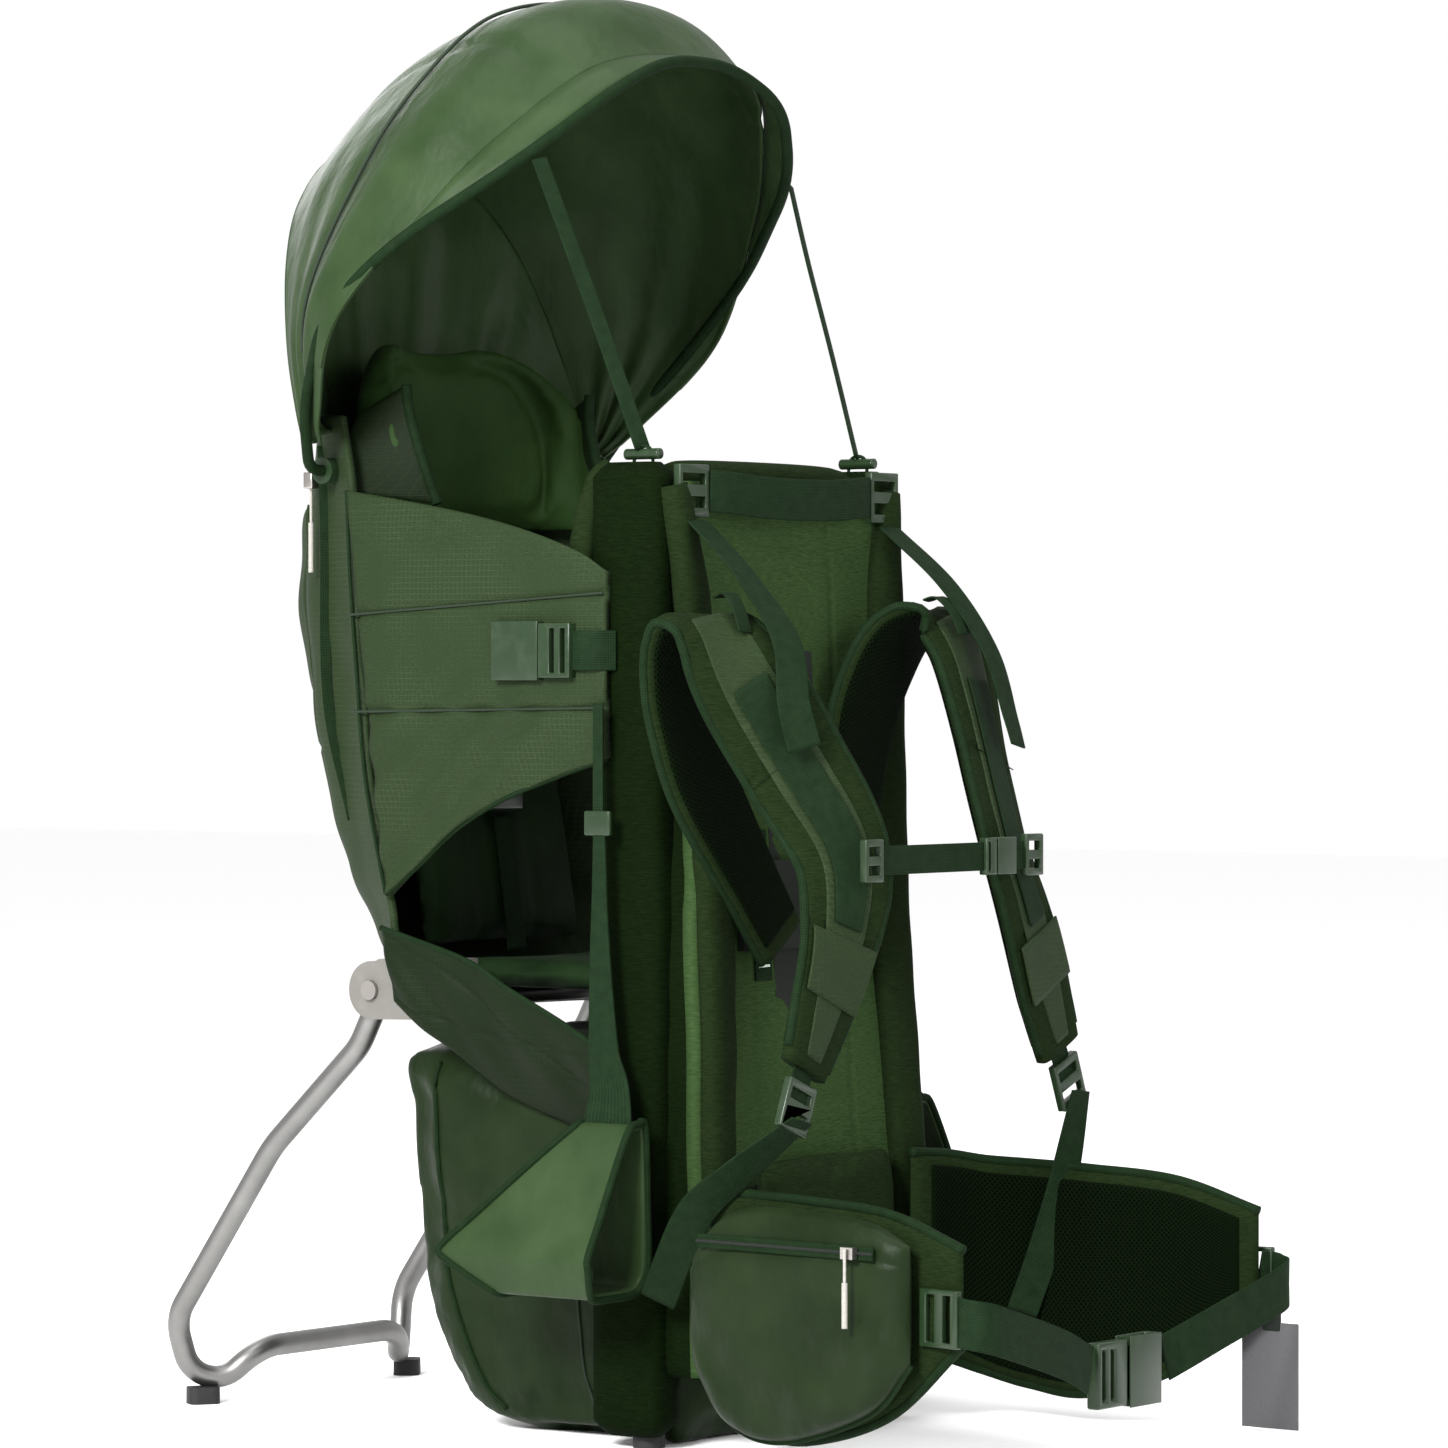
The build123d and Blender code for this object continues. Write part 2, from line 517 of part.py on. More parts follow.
NODES = {
    "frame_tube": frame_tube,
    "frame_feet": frame_feet,
    "frame_cross_members": group(base_cross, rear_cross, seat_rails),
    "kickstand_brackets": kickstand_brackets,
    "kickstand_bolts": kickstand_bolts,
    "kickstand_tube": kickstand_tube,
    "kickstand_clips": kickstand_clips,
    "column_covers": column_covers,
    "back_panel": back_panel,
    "torso_track": torso_track,
    "right_side_panel": right_side_panel,
    "left_side_panel": left_side_panel,
    "rear_shell": rear_shell,
    "rear_pocket": rear_pocket,
    "lower_bag": lower_bag,
    "seat_base": seat_base,
    "seat_back": seat_back,
    "headrest": headrest,
    "chest_pad": chest_pad,
    "child_harness": child_harness,
    "child_buckle": child_buckle,
    "cockpit_buckles": group(cockpit_sockets, cockpit_plugs),
    "cockpit_webbing": cockpit_webbing,
    "right_cockpit_upper_prong": upper_prong_right,
    "right_cockpit_lower_prong": lower_prong_right,
    "left_cockpit_upper_prong": upper_prong_left,
    "left_cockpit_lower_prong": lower_prong_left,
    "frame_ladder_locks": group(top_adjusters, belt_adjusters),
    "haul_handle": haul_handle,
    "shoulder_yoke": shoulder_yoke,
    "right_shoulder_strap": right_shoulder_strap,
    "left_shoulder_strap": left_shoulder_strap,
    "lower_adjusters": lower_adjusters,
    "harness_webbing": group(left_lifter, right_lifter, lower_webbing),
    "sternum_sliders": sternum_sliders,
    "sternum_webbing": sternum_webbing,
    "sternum_socket": sternum_socket,
    "sternum_plug": sternum_plug,
    "sternum_upper_prong": sternum_upper_prong,
    "sternum_lower_prong": sternum_lower_prong,
    "hip_belt_pads": group(lumbar_pad, left_hip_wing, right_hip_wing),
    "hip_pockets": group(left_hip_pocket, right_hip_pocket),
    "belt_webbing": belt_webbing,
    "hip_socket": hip_socket,
    "hip_plug": hip_plug,
    "hip_upper_prong": hip_upper_prong,
    "hip_lower_prong": hip_lower_prong,
    "hang_tag": hang_tag,
    "canopy_hubs": canopy_hubs,
    "canopy_hoop": canopy_hoop,
    "canopy_roof": canopy_roof,
    "canopy_curtain": canopy_curtain,
    "canopy_straps": group(canopy_straps, strap_toggles),
    "right_stirrup": right_stirrup,
    "left_stirrup": left_stirrup,
    "right_zip_slider": right_zip_slider,
    "left_zip_slider": left_zip_slider,
    "right_zip_pull": right_zip_pull,
    "left_zip_pull": left_zip_pull,
    "rear_zip_pull": rear_zip_pull,
}

os.makedirs("parts", exist_ok=True)
for name, shape in NODES.items():
    export_step(shape, f"parts/{name}.step")
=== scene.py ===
import bpy
import bmesh
import numpy as np
from math import cos, pi, radians, sin
from mathutils import Matrix, Vector, noise


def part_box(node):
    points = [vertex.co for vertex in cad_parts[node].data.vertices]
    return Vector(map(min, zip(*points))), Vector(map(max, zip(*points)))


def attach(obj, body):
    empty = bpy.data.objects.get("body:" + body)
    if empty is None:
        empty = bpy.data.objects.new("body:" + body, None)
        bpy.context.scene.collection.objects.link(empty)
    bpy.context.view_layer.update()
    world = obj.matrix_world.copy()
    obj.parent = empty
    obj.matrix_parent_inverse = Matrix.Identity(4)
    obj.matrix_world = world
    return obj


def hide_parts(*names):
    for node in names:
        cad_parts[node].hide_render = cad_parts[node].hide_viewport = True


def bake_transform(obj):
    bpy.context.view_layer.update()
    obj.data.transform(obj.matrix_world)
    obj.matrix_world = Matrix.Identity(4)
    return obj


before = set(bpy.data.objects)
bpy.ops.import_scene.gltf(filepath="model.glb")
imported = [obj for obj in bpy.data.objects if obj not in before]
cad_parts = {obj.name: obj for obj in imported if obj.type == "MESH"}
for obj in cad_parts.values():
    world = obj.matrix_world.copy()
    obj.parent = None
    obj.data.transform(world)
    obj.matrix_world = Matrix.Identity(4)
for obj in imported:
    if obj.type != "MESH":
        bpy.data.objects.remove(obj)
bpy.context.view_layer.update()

# Everything is in metres in the part's own frame; sizes written with mm() are in millimetres.
# -Y is the wearer's side, +Y the kickstand side, -X the wearer's right.


def mm(*values):
    """Millimetres to metres, as one number or a tuple."""
    scaled = tuple(v * 0.001 for v in values)
    return scaled[0] if len(scaled) == 1 else scaled


# --- Camera, floor and light -------------------------------------------------------------------

CAMERA_AT = mm(-3993, -3041, 620)
CAMERA_LOOKS_AT = mm(0, -32, 580)
CAMERA_LENS = 150.86
FLOOR_HALF = 14
FLOOR_COLOUR = (0.96, 0.96, 0.96)
MIDDLE = (0, 0, 0.6)
LAMPS = (("key", (-3.3, -0.5, 2.1), 1.0, 300), ("front_fill", (-0.6, -3.6, 1.7), 1.6, 60),
         ("rim", (1.6, 2.8, 2.2), 1.5, 30), ("top", (-0.4, -0.3, 3.4), 2.0, 70))


def look_at(obj, target):
    obj.rotation_euler = (Vector(target) - obj.location).to_track_quat("-Z", "Y").to_euler()


def make_camera():
    data = bpy.data.cameras.new("camera")
    data.lens = CAMERA_LENS
    data.sensor_width = 36
    camera = bpy.data.objects.new("camera", data)
    camera.location = CAMERA_AT
    look_at(camera, CAMERA_LOOKS_AT)
    bpy.context.scene.collection.objects.link(camera)
    bpy.context.scene.camera = camera


def area_light(name, at, size, power):
    """A square lamp that faces the middle of the pack."""
    data = bpy.data.lights.new(name, "AREA")
    data.shape = "SQUARE"
    data.size = size
    data.energy = power
    light = bpy.data.objects.new(name, data)
    light.location = at
    look_at(light, MIDDLE)
    bpy.context.scene.collection.objects.link(light)


def make_floor():
    """A pale floor, wide enough to reach past the picture's edges."""
    mesh = bpy.data.meshes.new("floor")
    corners = [(x * FLOOR_HALF, y * FLOOR_HALF, 0) for x, y in ((-1, -1), (1, -1), (1, 1), (-1, 1))]
    mesh.from_pydata(corners, [], [(0, 1, 2, 3)])
    floor = bpy.data.objects.new("floor", mesh)
    bpy.context.scene.collection.objects.link(floor)
    material = bpy.data.materials.new("floor")
    material.use_nodes = True
    shader = material.node_tree.nodes["Principled BSDF"]
    shader.inputs["Base Color"].default_value = (*FLOOR_COLOUR, 1)
    shader.inputs["Roughness"].default_value = 0.9
    mesh.materials.append(material)


def make_studio():
    """A white surround, a floor, a key from the left and softer lamps in front, behind and above."""
    world = bpy.data.worlds.new("studio")
    bpy.context.scene.world = world
    world.use_nodes = True
    background = world.node_tree.nodes["Background"]
    background.inputs["Color"].default_value = (1, 1, 1, 1)
    background.inputs["Strength"].default_value = 1.0
    bpy.context.scene.view_settings.view_transform = "Standard"
    make_floor()
    for name, at, size, power in LAMPS:
        area_light(name, at, size, power)


make_camera()
make_studio()

# --- Mesh tools --------------------------------------------------------------------------------

SPLINE_STEPS = 16
CLOTH_FRAMES = 20
TUBE_SIDES = 12


def new_object(name, verts, faces, uvs=None):
    mesh = bpy.data.meshes.new(name)
    mesh.from_pydata([tuple(v) for v in verts], [], faces)
    if uvs is not None:
        flat = [c for face in uvs for corner in face for c in corner]
        mesh.uv_layers.new(name="UVMap").data.foreach_set("uv", flat)
    mesh.polygons.foreach_set("use_smooth", [True] * len(mesh.polygons))
    mesh.update()
    obj = bpy.data.objects.new(name, mesh)
    bpy.context.scene.collection.objects.link(obj)
    return obj


def spline(points, count, closed=False):
    """Catmull-Rom curve through rows of numbers, spaced evenly along its length."""
    p = np.array(points, float)
    if closed:
        p = np.vstack([p[-1], p, p[0], p[1]])
    else:
        p = np.vstack([2 * p[0] - p[1], p, 2 * p[-1] - p[-2]])
    fine = []
    t = np.linspace(0, 1, SPLINE_STEPS, endpoint=False)[:, None]
    for i in range(1, len(p) - 2):
        a, b, c, d = p[i - 1], p[i], p[i + 1], p[i + 2]
        fine.append(0.5 * (2 * b + (c - a) * t + (2 * a - 5 * b + 4 * c - d) * t ** 2
                           + (3 * b - a - 3 * c + d) * t ** 3))
    fine = np.vstack(fine + [p[-2][None]])
    length = np.concatenate([[0], np.cumsum(np.linalg.norm(np.diff(fine[:, :3], axis=0), axis=1))])
    at = np.linspace(0, length[-1], count)
    return np.stack([np.interp(at, length, fine[:, k]) for k in range(p.shape[1])], axis=1)


def grid_object(name, grid, wrap=False, caps=False):
    """A smooth mesh through a grid of points; UVs are distances in metres along it."""
    grid = np.array(grid, float)
    rows, cols = grid.shape[:2]
    verts = grid.reshape(-1, 3)
    ring = np.concatenate([grid, grid[:, :1]], axis=1) if wrap else grid
    u = np.concatenate([[0], np.cumsum(np.linalg.norm(np.diff(ring, axis=1), axis=2).mean(0))])
    v = np.concatenate([[0], np.cumsum(np.linalg.norm(np.diff(grid, axis=0), axis=2).mean(1))])
    faces, uvs = [], []
    for i in range(rows - 1):
        for j in range(cols if wrap else cols - 1):
            k = (j + 1) % cols
            faces.append((i * cols + j, i * cols + k, (i + 1) * cols + k, (i + 1) * cols + j))
            uvs.append(((u[j], v[i]), (u[j + 1], v[i]), (u[j + 1], v[i + 1]), (u[j], v[i + 1])))
    if caps:
        for i, order in ((0, -1), (rows - 1, 1)):
            loop = [i * cols + j for j in range(cols)][::order]
            faces.append(tuple(loop))
            uvs.append(tuple((0, 0) for _ in loop))
    return new_object(name, verts, faces, uvs)


def frames_along(route, across):
    """Unit tangents, width directions and normals along a route."""
    tangent = np.gradient(route, axis=0)
    tangent /= np.linalg.norm(tangent, axis=1)[:, None]
    side = np.array(across, float)
    side = side - tangent * (side * tangent).sum(1)[:, None]
    side /= np.linalg.norm(side, axis=1)[:, None]
    return tangent, side, np.cross(tangent, side)


def along(values, count, route_count):
    """A value or a list of values spread over count steps."""
    if np.ndim(values) == 0:
        return np.full(count, float(values))
    return np.interp(np.linspace(0, 1, count), np.linspace(0, 1, route_count), values)


def profile(width, thick, squareness, count):
    """A closed rounded section: 1 is an ellipse, smaller is squarer."""
    angle = np.linspace(0, 2 * pi, count, endpoint=False)
    x = np.sign(np.cos(angle)) * np.abs(np.cos(angle)) ** squareness * width / 2
    y = np.sign(np.sin(angle)) * np.abs(np.sin(angle)) ** squareness * thick / 2
    return x, y


def path_frames(route, across, count):
    """A smooth path through a route, with its width directions and normals."""
    fixed = np.ndim(across[0]) == 0
    rows = [tuple(p) + tuple(across if fixed else across[i]) for i, p in enumerate(route)]
    path = spline(rows, count)
    _, side, normal = frames_along(path[:, :3], path[:, 3:])
    return path[:, :3], side, normal


def band(name, route, across, width, thick, count=60, squareness=0.35, section=24, relief=None, lift=0,
         part=(0, 1)):
    """A strap or pad along a route in millimetres, with a closed rounded section.
    lift moves it along its normal; part keeps only that share of the route."""
    path, side, normal = path_frames(route, across, count)
    wide = along(width, count, len(route))
    deep = along(thick, count, len(route))
    kept = [i for i in range(count) if part[0] <= i / (count - 1) <= part[1]]
    grid = np.zeros((len(kept), section, 3))
    for row, i in enumerate(kept):
        x, y = profile(wide[i], deep[i], squareness, section)
        if relief is not None:
            y = y * relief(i / (count - 1), x / wide[i])
        grid[row] = path[i] + normal[i] * lift + np.outer(x, side[i]) + np.outer(y, normal[i])
    return grid_object(name, grid * 0.001, wrap=True, caps=True)


def rail(name, route, across, shift, lift, radius, count):
    """A binding that runs beside a route: shift along its width, lift along its normal."""
    path, side, normal = path_frames(route, across, count)
    line = path + side * along(shift, count, len(route))[:, None] + normal * lift
    return tube(name, line[::3], radius, count)


def cushion(name, surface, thick, edge=7, relief=None, back_share=1.0):
    """A pad with rounded edges on both sides of a surface of points in millimetres.
    relief(u, v) changes the front's height in millimetres, with u and v from 0 to 1."""
    surface = np.array(surface, float)
    rows, cols = surface.shape[:2]
    down, over = np.gradient(surface, axis=0), np.gradient(surface, axis=1)
    normal = np.cross(over, down)
    normal /= np.maximum(np.linalg.norm(normal, axis=2), 1e-9)[..., None]
    u, v = np.meshgrid(np.linspace(0, 1, cols), np.linspace(0, 1, rows))

    def rounded(share):
        return np.clip(1 - np.abs(2 * share - 1) ** edge, 0.0, 1) ** (1 / 2.2)

    height = thick / 2 * np.clip(rounded(u) * rounded(v), 0.04, 1)
    front = height + (relief(u, v) * height / (thick / 2) if relief is not None else 0)
    ring = np.concatenate([surface + normal * front[..., None],
                           (surface - normal * (height * back_share)[..., None])[:, ::-1]], axis=1)
    return grid_object(name, ring * 0.001, wrap=True, caps=True)


def surface_between(first, second, rows, cols):
    """A ruled surface between two lines of points."""
    a, b = spline(first, cols), spline(second, cols)
    share = np.linspace(0, 1, rows)[:, None, None]
    return a[None] * (1 - share) + b[None] * share


def groove(value, at, width):
    """A soft notch of depth 1 where value passes at."""
    return np.exp(-((value - at) / width) ** 2)


def sewn(depth, upright=(), level=()):
    """Relief for a pad's seams, each given by its share of the way across or down and its width."""
    return lambda u, v: -depth * (sum(groove(u, *seam) for seam in upright)
                                  + sum(groove(v, *seam) for seam in level))


def line_across(half, y, z, middle_y, middle_z):
    """A line from -half to half in X through a middle point."""
    return [(-half, y, z), (0, middle_y, middle_z), (half, y, z)]


def mirror_points(points):
    return [(-p[0], p[1], p[2]) for p in points]


def fillet_line(points, share=0.45, steps=14):
    """A polyline whose corners are the largest circular arcs that its runs allow."""
    p = [np.array(q, float) for q in points]
    line = [p[0]]
    for before, here, after in zip(p, p[1:], p[2:]):
        reach = share * min(np.linalg.norm(here - before), np.linalg.norm(after - here))
        into = (here - before) / np.linalg.norm(here - before)
        out = (after - here) / np.linalg.norm(after - here)
        weight = cos(np.arccos(np.clip(into @ out, -1, 1)) / 2)
        a, b = here - into * reach, here + out * reach
        for t in np.linspace(0, 1, steps):
            k = [(1 - t) ** 2, 2 * t * (1 - t) * weight, t ** 2]
            line.append((k[0] * a + k[1] * here + k[2] * b) / sum(k))
    return line + [p[-1]]


def webbing(name, route, across, width, thick=1.7, count=None):
    """Flat woven webbing along a route in millimetres."""
    return band(name, route, across, width, thick, count or 12 * len(route), 0.22, 16)


def tube(name, points, radius, count, closed=False, up=(0, 0, 1)):
    """A round tube through points in millimetres."""
    path = spline(points, count, closed)
    tangent = np.gradient(path, axis=0)
    if closed:
        path = path[:-1]
        tangent = np.roll(path, -1, axis=0) - np.roll(path, 1, axis=0)
    tangent /= np.linalg.norm(tangent, axis=1)[:, None]
    side = np.cross(tangent, np.array(up, float))
    side /= np.maximum(np.linalg.norm(side, axis=1), 1e-6)[:, None]
    normal = np.cross(side, tangent)
    angle = np.linspace(0, 2 * pi, TUBE_SIDES, endpoint=False)
    grid = path[:, None] + radius * (np.cos(angle)[None, :, None] * side[:, None]
                                     + np.sin(angle)[None, :, None] * normal[:, None])
    if closed:
        grid = np.concatenate([grid, grid[:1]])
    obj = grid_object(name, grid * 0.001, wrap=True, caps=not closed)
    if closed:
        merge_close(obj)
    return obj


def merge_close(obj):
    """Joins a closed tube's last ring to its first."""
    work = bmesh.new()
    work.from_mesh(obj.data)
    bmesh.ops.remove_doubles(work, verts=work.verts, dist=mm(0.01))
    work.to_mesh(obj.data)
    work.free()


def apply_all(obj):
    """Applies an object's modifiers."""
    bpy.context.view_layer.update()
    graph = bpy.context.evaluated_depsgraph_get()
    mesh = bpy.data.meshes.new_from_object(obj.evaluated_get(graph))
    obj.modifiers.clear()
    obj.data = mesh
    mesh.polygons.foreach_set("use_smooth", [True] * len(mesh.polygons))
    return obj


def modify(obj, kind, **settings):
    modifier = obj.modifiers.new(kind.lower(), kind)
    for key, value in settings.items():
        setattr(modifier, key, value)
    return modifier


def thicken(obj, thick, offset=0):
    modify(obj, "SOLIDIFY", thickness=mm(thick), offset=offset)
    return apply_all(obj)


def bevelled(obj, width, angle=35):
    modify(obj, "BEVEL", width=mm(width), segments=3, limit_method="ANGLE", angle_limit=radians(angle))
    return apply_all(obj)


def box_mesh(name, low, high, radius):
    """A bevelled block between two corners in millimetres."""
    low, high = np.array(low, float) * 0.001, np.array(high, float) * 0.001
    verts = [(x, y, z) for z in (low[2], high[2]) for y in (low[1], high[1]) for x in (low[0], high[0])]
    faces = [(0, 2, 3, 1), (4, 5, 7, 6), (0, 1, 5, 4), (2, 6, 7, 3), (0, 4, 6, 2), (1, 3, 7, 5)]
    return bevelled(new_object(name, verts, faces), radius)


def mirrored(obj, name):
    """The same piece on the other side."""
    other = obj.copy()
    other.data = obj.data.copy()
    other.name = name
    other.data.transform(Matrix.Scale(-1, 4, (1, 0, 0)))
    other.data.flip_normals()
    bpy.context.scene.collection.objects.link(other)
    return other


def move_points(obj, shift):
    """Moves every vertex by shift(position, normal), both in millimetres."""
    mesh = obj.data
    count = len(mesh.vertices)
    at = np.zeros(count * 3)
    mesh.vertices.foreach_get("co", at)
    at = at.reshape(-1, 3) * 1000
    normals = np.array([v.normal for v in mesh.vertices])
    moved = (at + shift(at, normals)) * 0.001
    mesh.vertices.foreach_set("co", moved.ravel())
    mesh.update()
    return obj


def bumps(at, size, seed, stretch):
    """Smooth noise from -1 to 1 at points in millimetres, size being the distance between bumps."""
    scaled = at * np.array(stretch) / size + seed * 7.3
    return np.array([noise.noise(Vector(p)) for p in scaled])


def puff(obj, voxel=5, pressure=4.0, cap=10, stiffness=6.0):
    """Inflates a closed shape as filled fabric, and then subdivides it.
    voxel is the cloth's grain and cap the most that a point moves, both in millimetres."""
    modify(obj, "REMESH", mode="VOXEL", voxel_size=mm(voxel))
    apply_all(obj)
    rest = np.array([v.co for v in obj.data.vertices])
    cloth = modify(obj, "CLOTH")
    settings = cloth.settings
    settings.use_pressure = True
    settings.uniform_pressure_force = pressure
    settings.tension_stiffness = stiffness
    settings.compression_stiffness = stiffness
    settings.bending_stiffness = 0.4
    settings.effector_weights.gravity = 0
    settings.quality = 5
    cloth.point_cache.frame_end = CLOTH_FRAMES
    for step in range(1, CLOTH_FRAMES + 1):
        bpy.context.scene.frame_set(step)
    apply_all(obj)
    move = np.array([v.co for v in obj.data.vertices]) - rest
    share = np.minimum(1, mm(cap) / np.maximum(np.linalg.norm(move, axis=1), 1e-9))
    obj.data.vertices.foreach_set("co", (rest + move * share[:, None]).ravel())
    bpy.context.scene.frame_set(1)
    modify(obj, "SMOOTH", iterations=1, factor=0.5)
    modify(obj, "SUBSURF", levels=1, render_levels=1)
    apply_all(obj)
    return obj


# --- Materials ---------------------------------------------------------------------------------


CLOTH_SPECULAR = 0.07
DULL_SPECULAR = 0.02
CLOTH_SHEEN = 0.008
DULL_SHEEN = 0.003


class Shader:
    """A small helper that builds one Principled material's nodes."""

    def __init__(self, name, roughness=0.7, metallic=0.0, sheen=0.0, specular=0.5):
        self.material = bpy.data.materials.new(name)
        self.material.use_nodes = True
        self.tree = self.material.node_tree
        self.out = self.tree.nodes["Principled BSDF"]
        for socket, value in (("Roughness", roughness), ("Metallic", metallic), ("Sheen Weight", sheen),
                              ("Sheen Roughness", 0.45), ("Specular IOR Level", specular)):
            self.out.inputs[socket].default_value = value
        self.out.inputs["Sheen Tint"].default_value = (1, 1, 1, 1)

    def node(self, kind, **values):
        made = self.tree.nodes.new(kind)
        for key, value in values.items():
            setattr(made, key, value)
        return made

    def link(self, a, b):
        self.tree.links.new(a, b)

    def value(self, source, socket):
        if isinstance(source, (int, float)):
            socket.default_value = source
        else:
            self.link(source, socket)

    def math(self, operation, a, b=0.0, c=0.0):
        made = self.node("ShaderNodeMath", operation=operation)
        for source, socket in zip((a, b, c), made.inputs):
            self.value(source, socket)
        return made.outputs[0]

    def coords(self, kind="Object"):
        source = self.node("ShaderNodeTexCoord").outputs[kind]
        split = self.node("ShaderNodeSeparateXYZ")
        self.link(source, split.inputs[0])
        return source, split.outputs

    def wave(self, coordinate, period_mm, sharp=1.0):
        """Ribs from 0 to 1 across a coordinate in metres."""
        phase = self.math("MULTIPLY", coordinate, 2 * pi / mm(period_mm))
        raised = self.math("MULTIPLY_ADD", self.math("SINE", phase), 0.5, 0.5)
        return raised if sharp == 1.0 else self.math("POWER", raised, sharp)

    def noise(self, source, size_mm, detail=2.0, stretch=(1, 1, 1), roughness=0.5):
        mapping = self.node("ShaderNodeMapping")
        mapping.inputs["Scale"].default_value = stretch
        self.link(source, mapping.inputs["Vector"])
        texture = self.node("ShaderNodeTexNoise")
        texture.inputs["Scale"].default_value = 1 / mm(size_mm)
        texture.inputs["Detail"].default_value = detail
        texture.inputs["Roughness"].default_value = roughness
        self.link(mapping.outputs[0], texture.inputs["Vector"])
        return texture.outputs["Fac"]

    def ramp(self, value, low, high):
        """Stretches low..high to 0..1."""
        made = self.node("ShaderNodeMapRange")
        made.inputs["From Min"].default_value = low
        made.inputs["From Max"].default_value = high
        self.link(value, made.inputs["Value"])
        return made.outputs[0]

    def mix(self, factor, a, b):
        made = self.node("ShaderNodeMix", data_type="RGBA")
        self.value(factor, made.inputs["Factor"])
        for colour, socket in ((a, made.inputs[6]), (b, made.inputs[7])):
            if isinstance(colour, tuple):
                socket.default_value = (*colour, 1)
            else:
                self.link(colour, socket)
        return made.outputs[2]

    def bump(self, height, strength, distance_mm, under=None):
        made = self.node("ShaderNodeBump")
        made.inputs["Strength"].default_value = strength
        made.inputs["Distance"].default_value = mm(distance_mm)
        self.link(height, made.inputs["Height"])
        if under is not None:
            self.link(under, made.inputs["Normal"])
        return made.outputs[0]

    def finish(self, colour, normal, roughness=None):
        self.link(colour, self.out.inputs["Base Color"])
        self.link(normal, self.out.inputs["Normal"])
        if roughness is not None:
            self.link(roughness, self.out.inputs["Roughness"])
        return self.material


def ripstop(name, dark, light):
    """Ribbed ripstop: fine level ribs, a faint grid of thicker threads and cloudy tone."""
    s = Shader(name, roughness=0.62, specular=CLOTH_SPECULAR, sheen=CLOTH_SHEEN)
    source, (x, y, z) = s.coords()
    ribs = s.wave(z, 2.3)
    along_wall = s.math("ADD", s.math("MULTIPLY", x, 0.8), y)
    threads = s.wave(along_wall, 1.6)
    grid = s.math("MAXIMUM", s.wave(along_wall, 4.6, 12.0), s.wave(z, 4.6, 12.0))
    broken = s.noise(source, 3.0, stretch=(1, 1, 7))
    patch = s.ramp(s.noise(source, 60, 3.0), 0.42, 0.62)
    height = s.math("ADD", s.math("MULTIPLY", ribs, 0.6), s.math("MULTIPLY", threads, 0.25))
    height = s.math("ADD", height, s.math("MULTIPLY", grid, 0.35))
    spots = s.math("MULTIPLY", s.math("MULTIPLY", grid, patch), 0.25)
    tone = s.math("ADD", s.math("MULTIPLY", broken, 0.75), spots)
    colour = s.mix(s.ramp(tone, 0.28, 0.72), dark, light)
    normal = s.bump(s.noise(source, 26, 3.0), 0.35, 2.2)
    return s.finish(colour, s.bump(height, 0.42, 0.35, normal))


def heather(name, dark, light):
    """Woven heathered cloth: short level streaks of two greens."""
    s = Shader(name, roughness=0.8, specular=DULL_SPECULAR, sheen=DULL_SHEEN)
    source, (_, _, z) = s.coords()
    streaks = s.noise(source, 5.0, 3.0, stretch=(0.7, 0.7, 6))
    fine = s.wave(z, 1.5)
    colour = s.mix(s.ramp(streaks, 0.32, 0.68), dark, light)
    height = s.math("ADD", s.math("MULTIPLY", fine, 0.6), streaks)
    normal = s.bump(s.noise(source, 30, 2.0), 0.3, 2.0)
    return s.finish(colour, s.bump(height, 0.35, 0.35, normal))


def coated(name, dark, light, roughness=0.42):
    """Smooth coated nylon with soft sheen, creases and a very fine thread."""
    s = Shader(name, roughness=roughness, specular=CLOTH_SPECULAR, sheen=CLOTH_SHEEN)
    source, (x, y, z) = s.coords()
    cloud = s.noise(source, 55, 3.0)
    colour = s.mix(s.ramp(cloud, 0.3, 0.7), dark, light)
    crease = s.noise(source, 42, 4.0, stretch=(1, 1, 0.6), roughness=0.45)
    normal = s.bump(crease, 0.75, 7.0)
    thread = s.math("ADD", s.wave(z, 0.9), s.wave(s.math("ADD", x, y), 0.9))
    return s.finish(colour, s.bump(thread, 0.12, 0.12, normal),
                    s.math("MULTIPLY_ADD", cloud, 0.16, roughness - 0.06))


def mesh_cloth(name, dark, light, period=4.4):
    """Spacer mesh: rows of small diamond holes, near-black partly for the dark foam under them and partly as
    painted shade in them.
    """
    s = Shader(name, roughness=0.85, specular=DULL_SPECULAR, sheen=DULL_SHEEN)
    _, (u, v, _) = s.coords("UV")
    plus = s.wave(s.math("ADD", u, v), period)
    minus = s.wave(s.math("SUBTRACT", u, v), period)
    holes = s.math("MULTIPLY", plus, minus)
    open_share = s.ramp(holes, 0.25, 0.5)
    threads = s.wave(u, 0.9)
    # The holes' colour, a sixth of the dark thread, is partly the foam's own darkness and partly painted
    # shade.
    colour = s.mix(open_share, s.mix(threads, dark, light), tuple(c * 0.16 for c in dark))
    height = s.math("SUBTRACT", s.math("MULTIPLY", threads, 0.12), open_share)
    return s.finish(colour, s.bump(height, 0.9, 0.9))


def woven_tape(name, dark, light, rib=1.5):
    """Webbing and binding: ribs across the tape with a chevron of fine threads."""
    s = Shader(name, roughness=0.6, specular=DULL_SPECULAR, sheen=DULL_SHEEN)
    _, (u, v, _) = s.coords("UV")
    ribs = s.wave(v, rib)
    threads = s.wave(u, 1.9)
    crossed = s.math("MULTIPLY", ribs, threads)
    source = s.node("ShaderNodeTexCoord").outputs["Object"]
    tone = s.math("ADD", s.math("MULTIPLY", crossed, 0.6), s.math("MULTIPLY", s.noise(source, 9.0), 0.5))
    colour = s.mix(s.ramp(tone, 0.1, 0.85), dark, light)
    return s.finish(colour, s.bump(crossed, 0.6, 0.4))


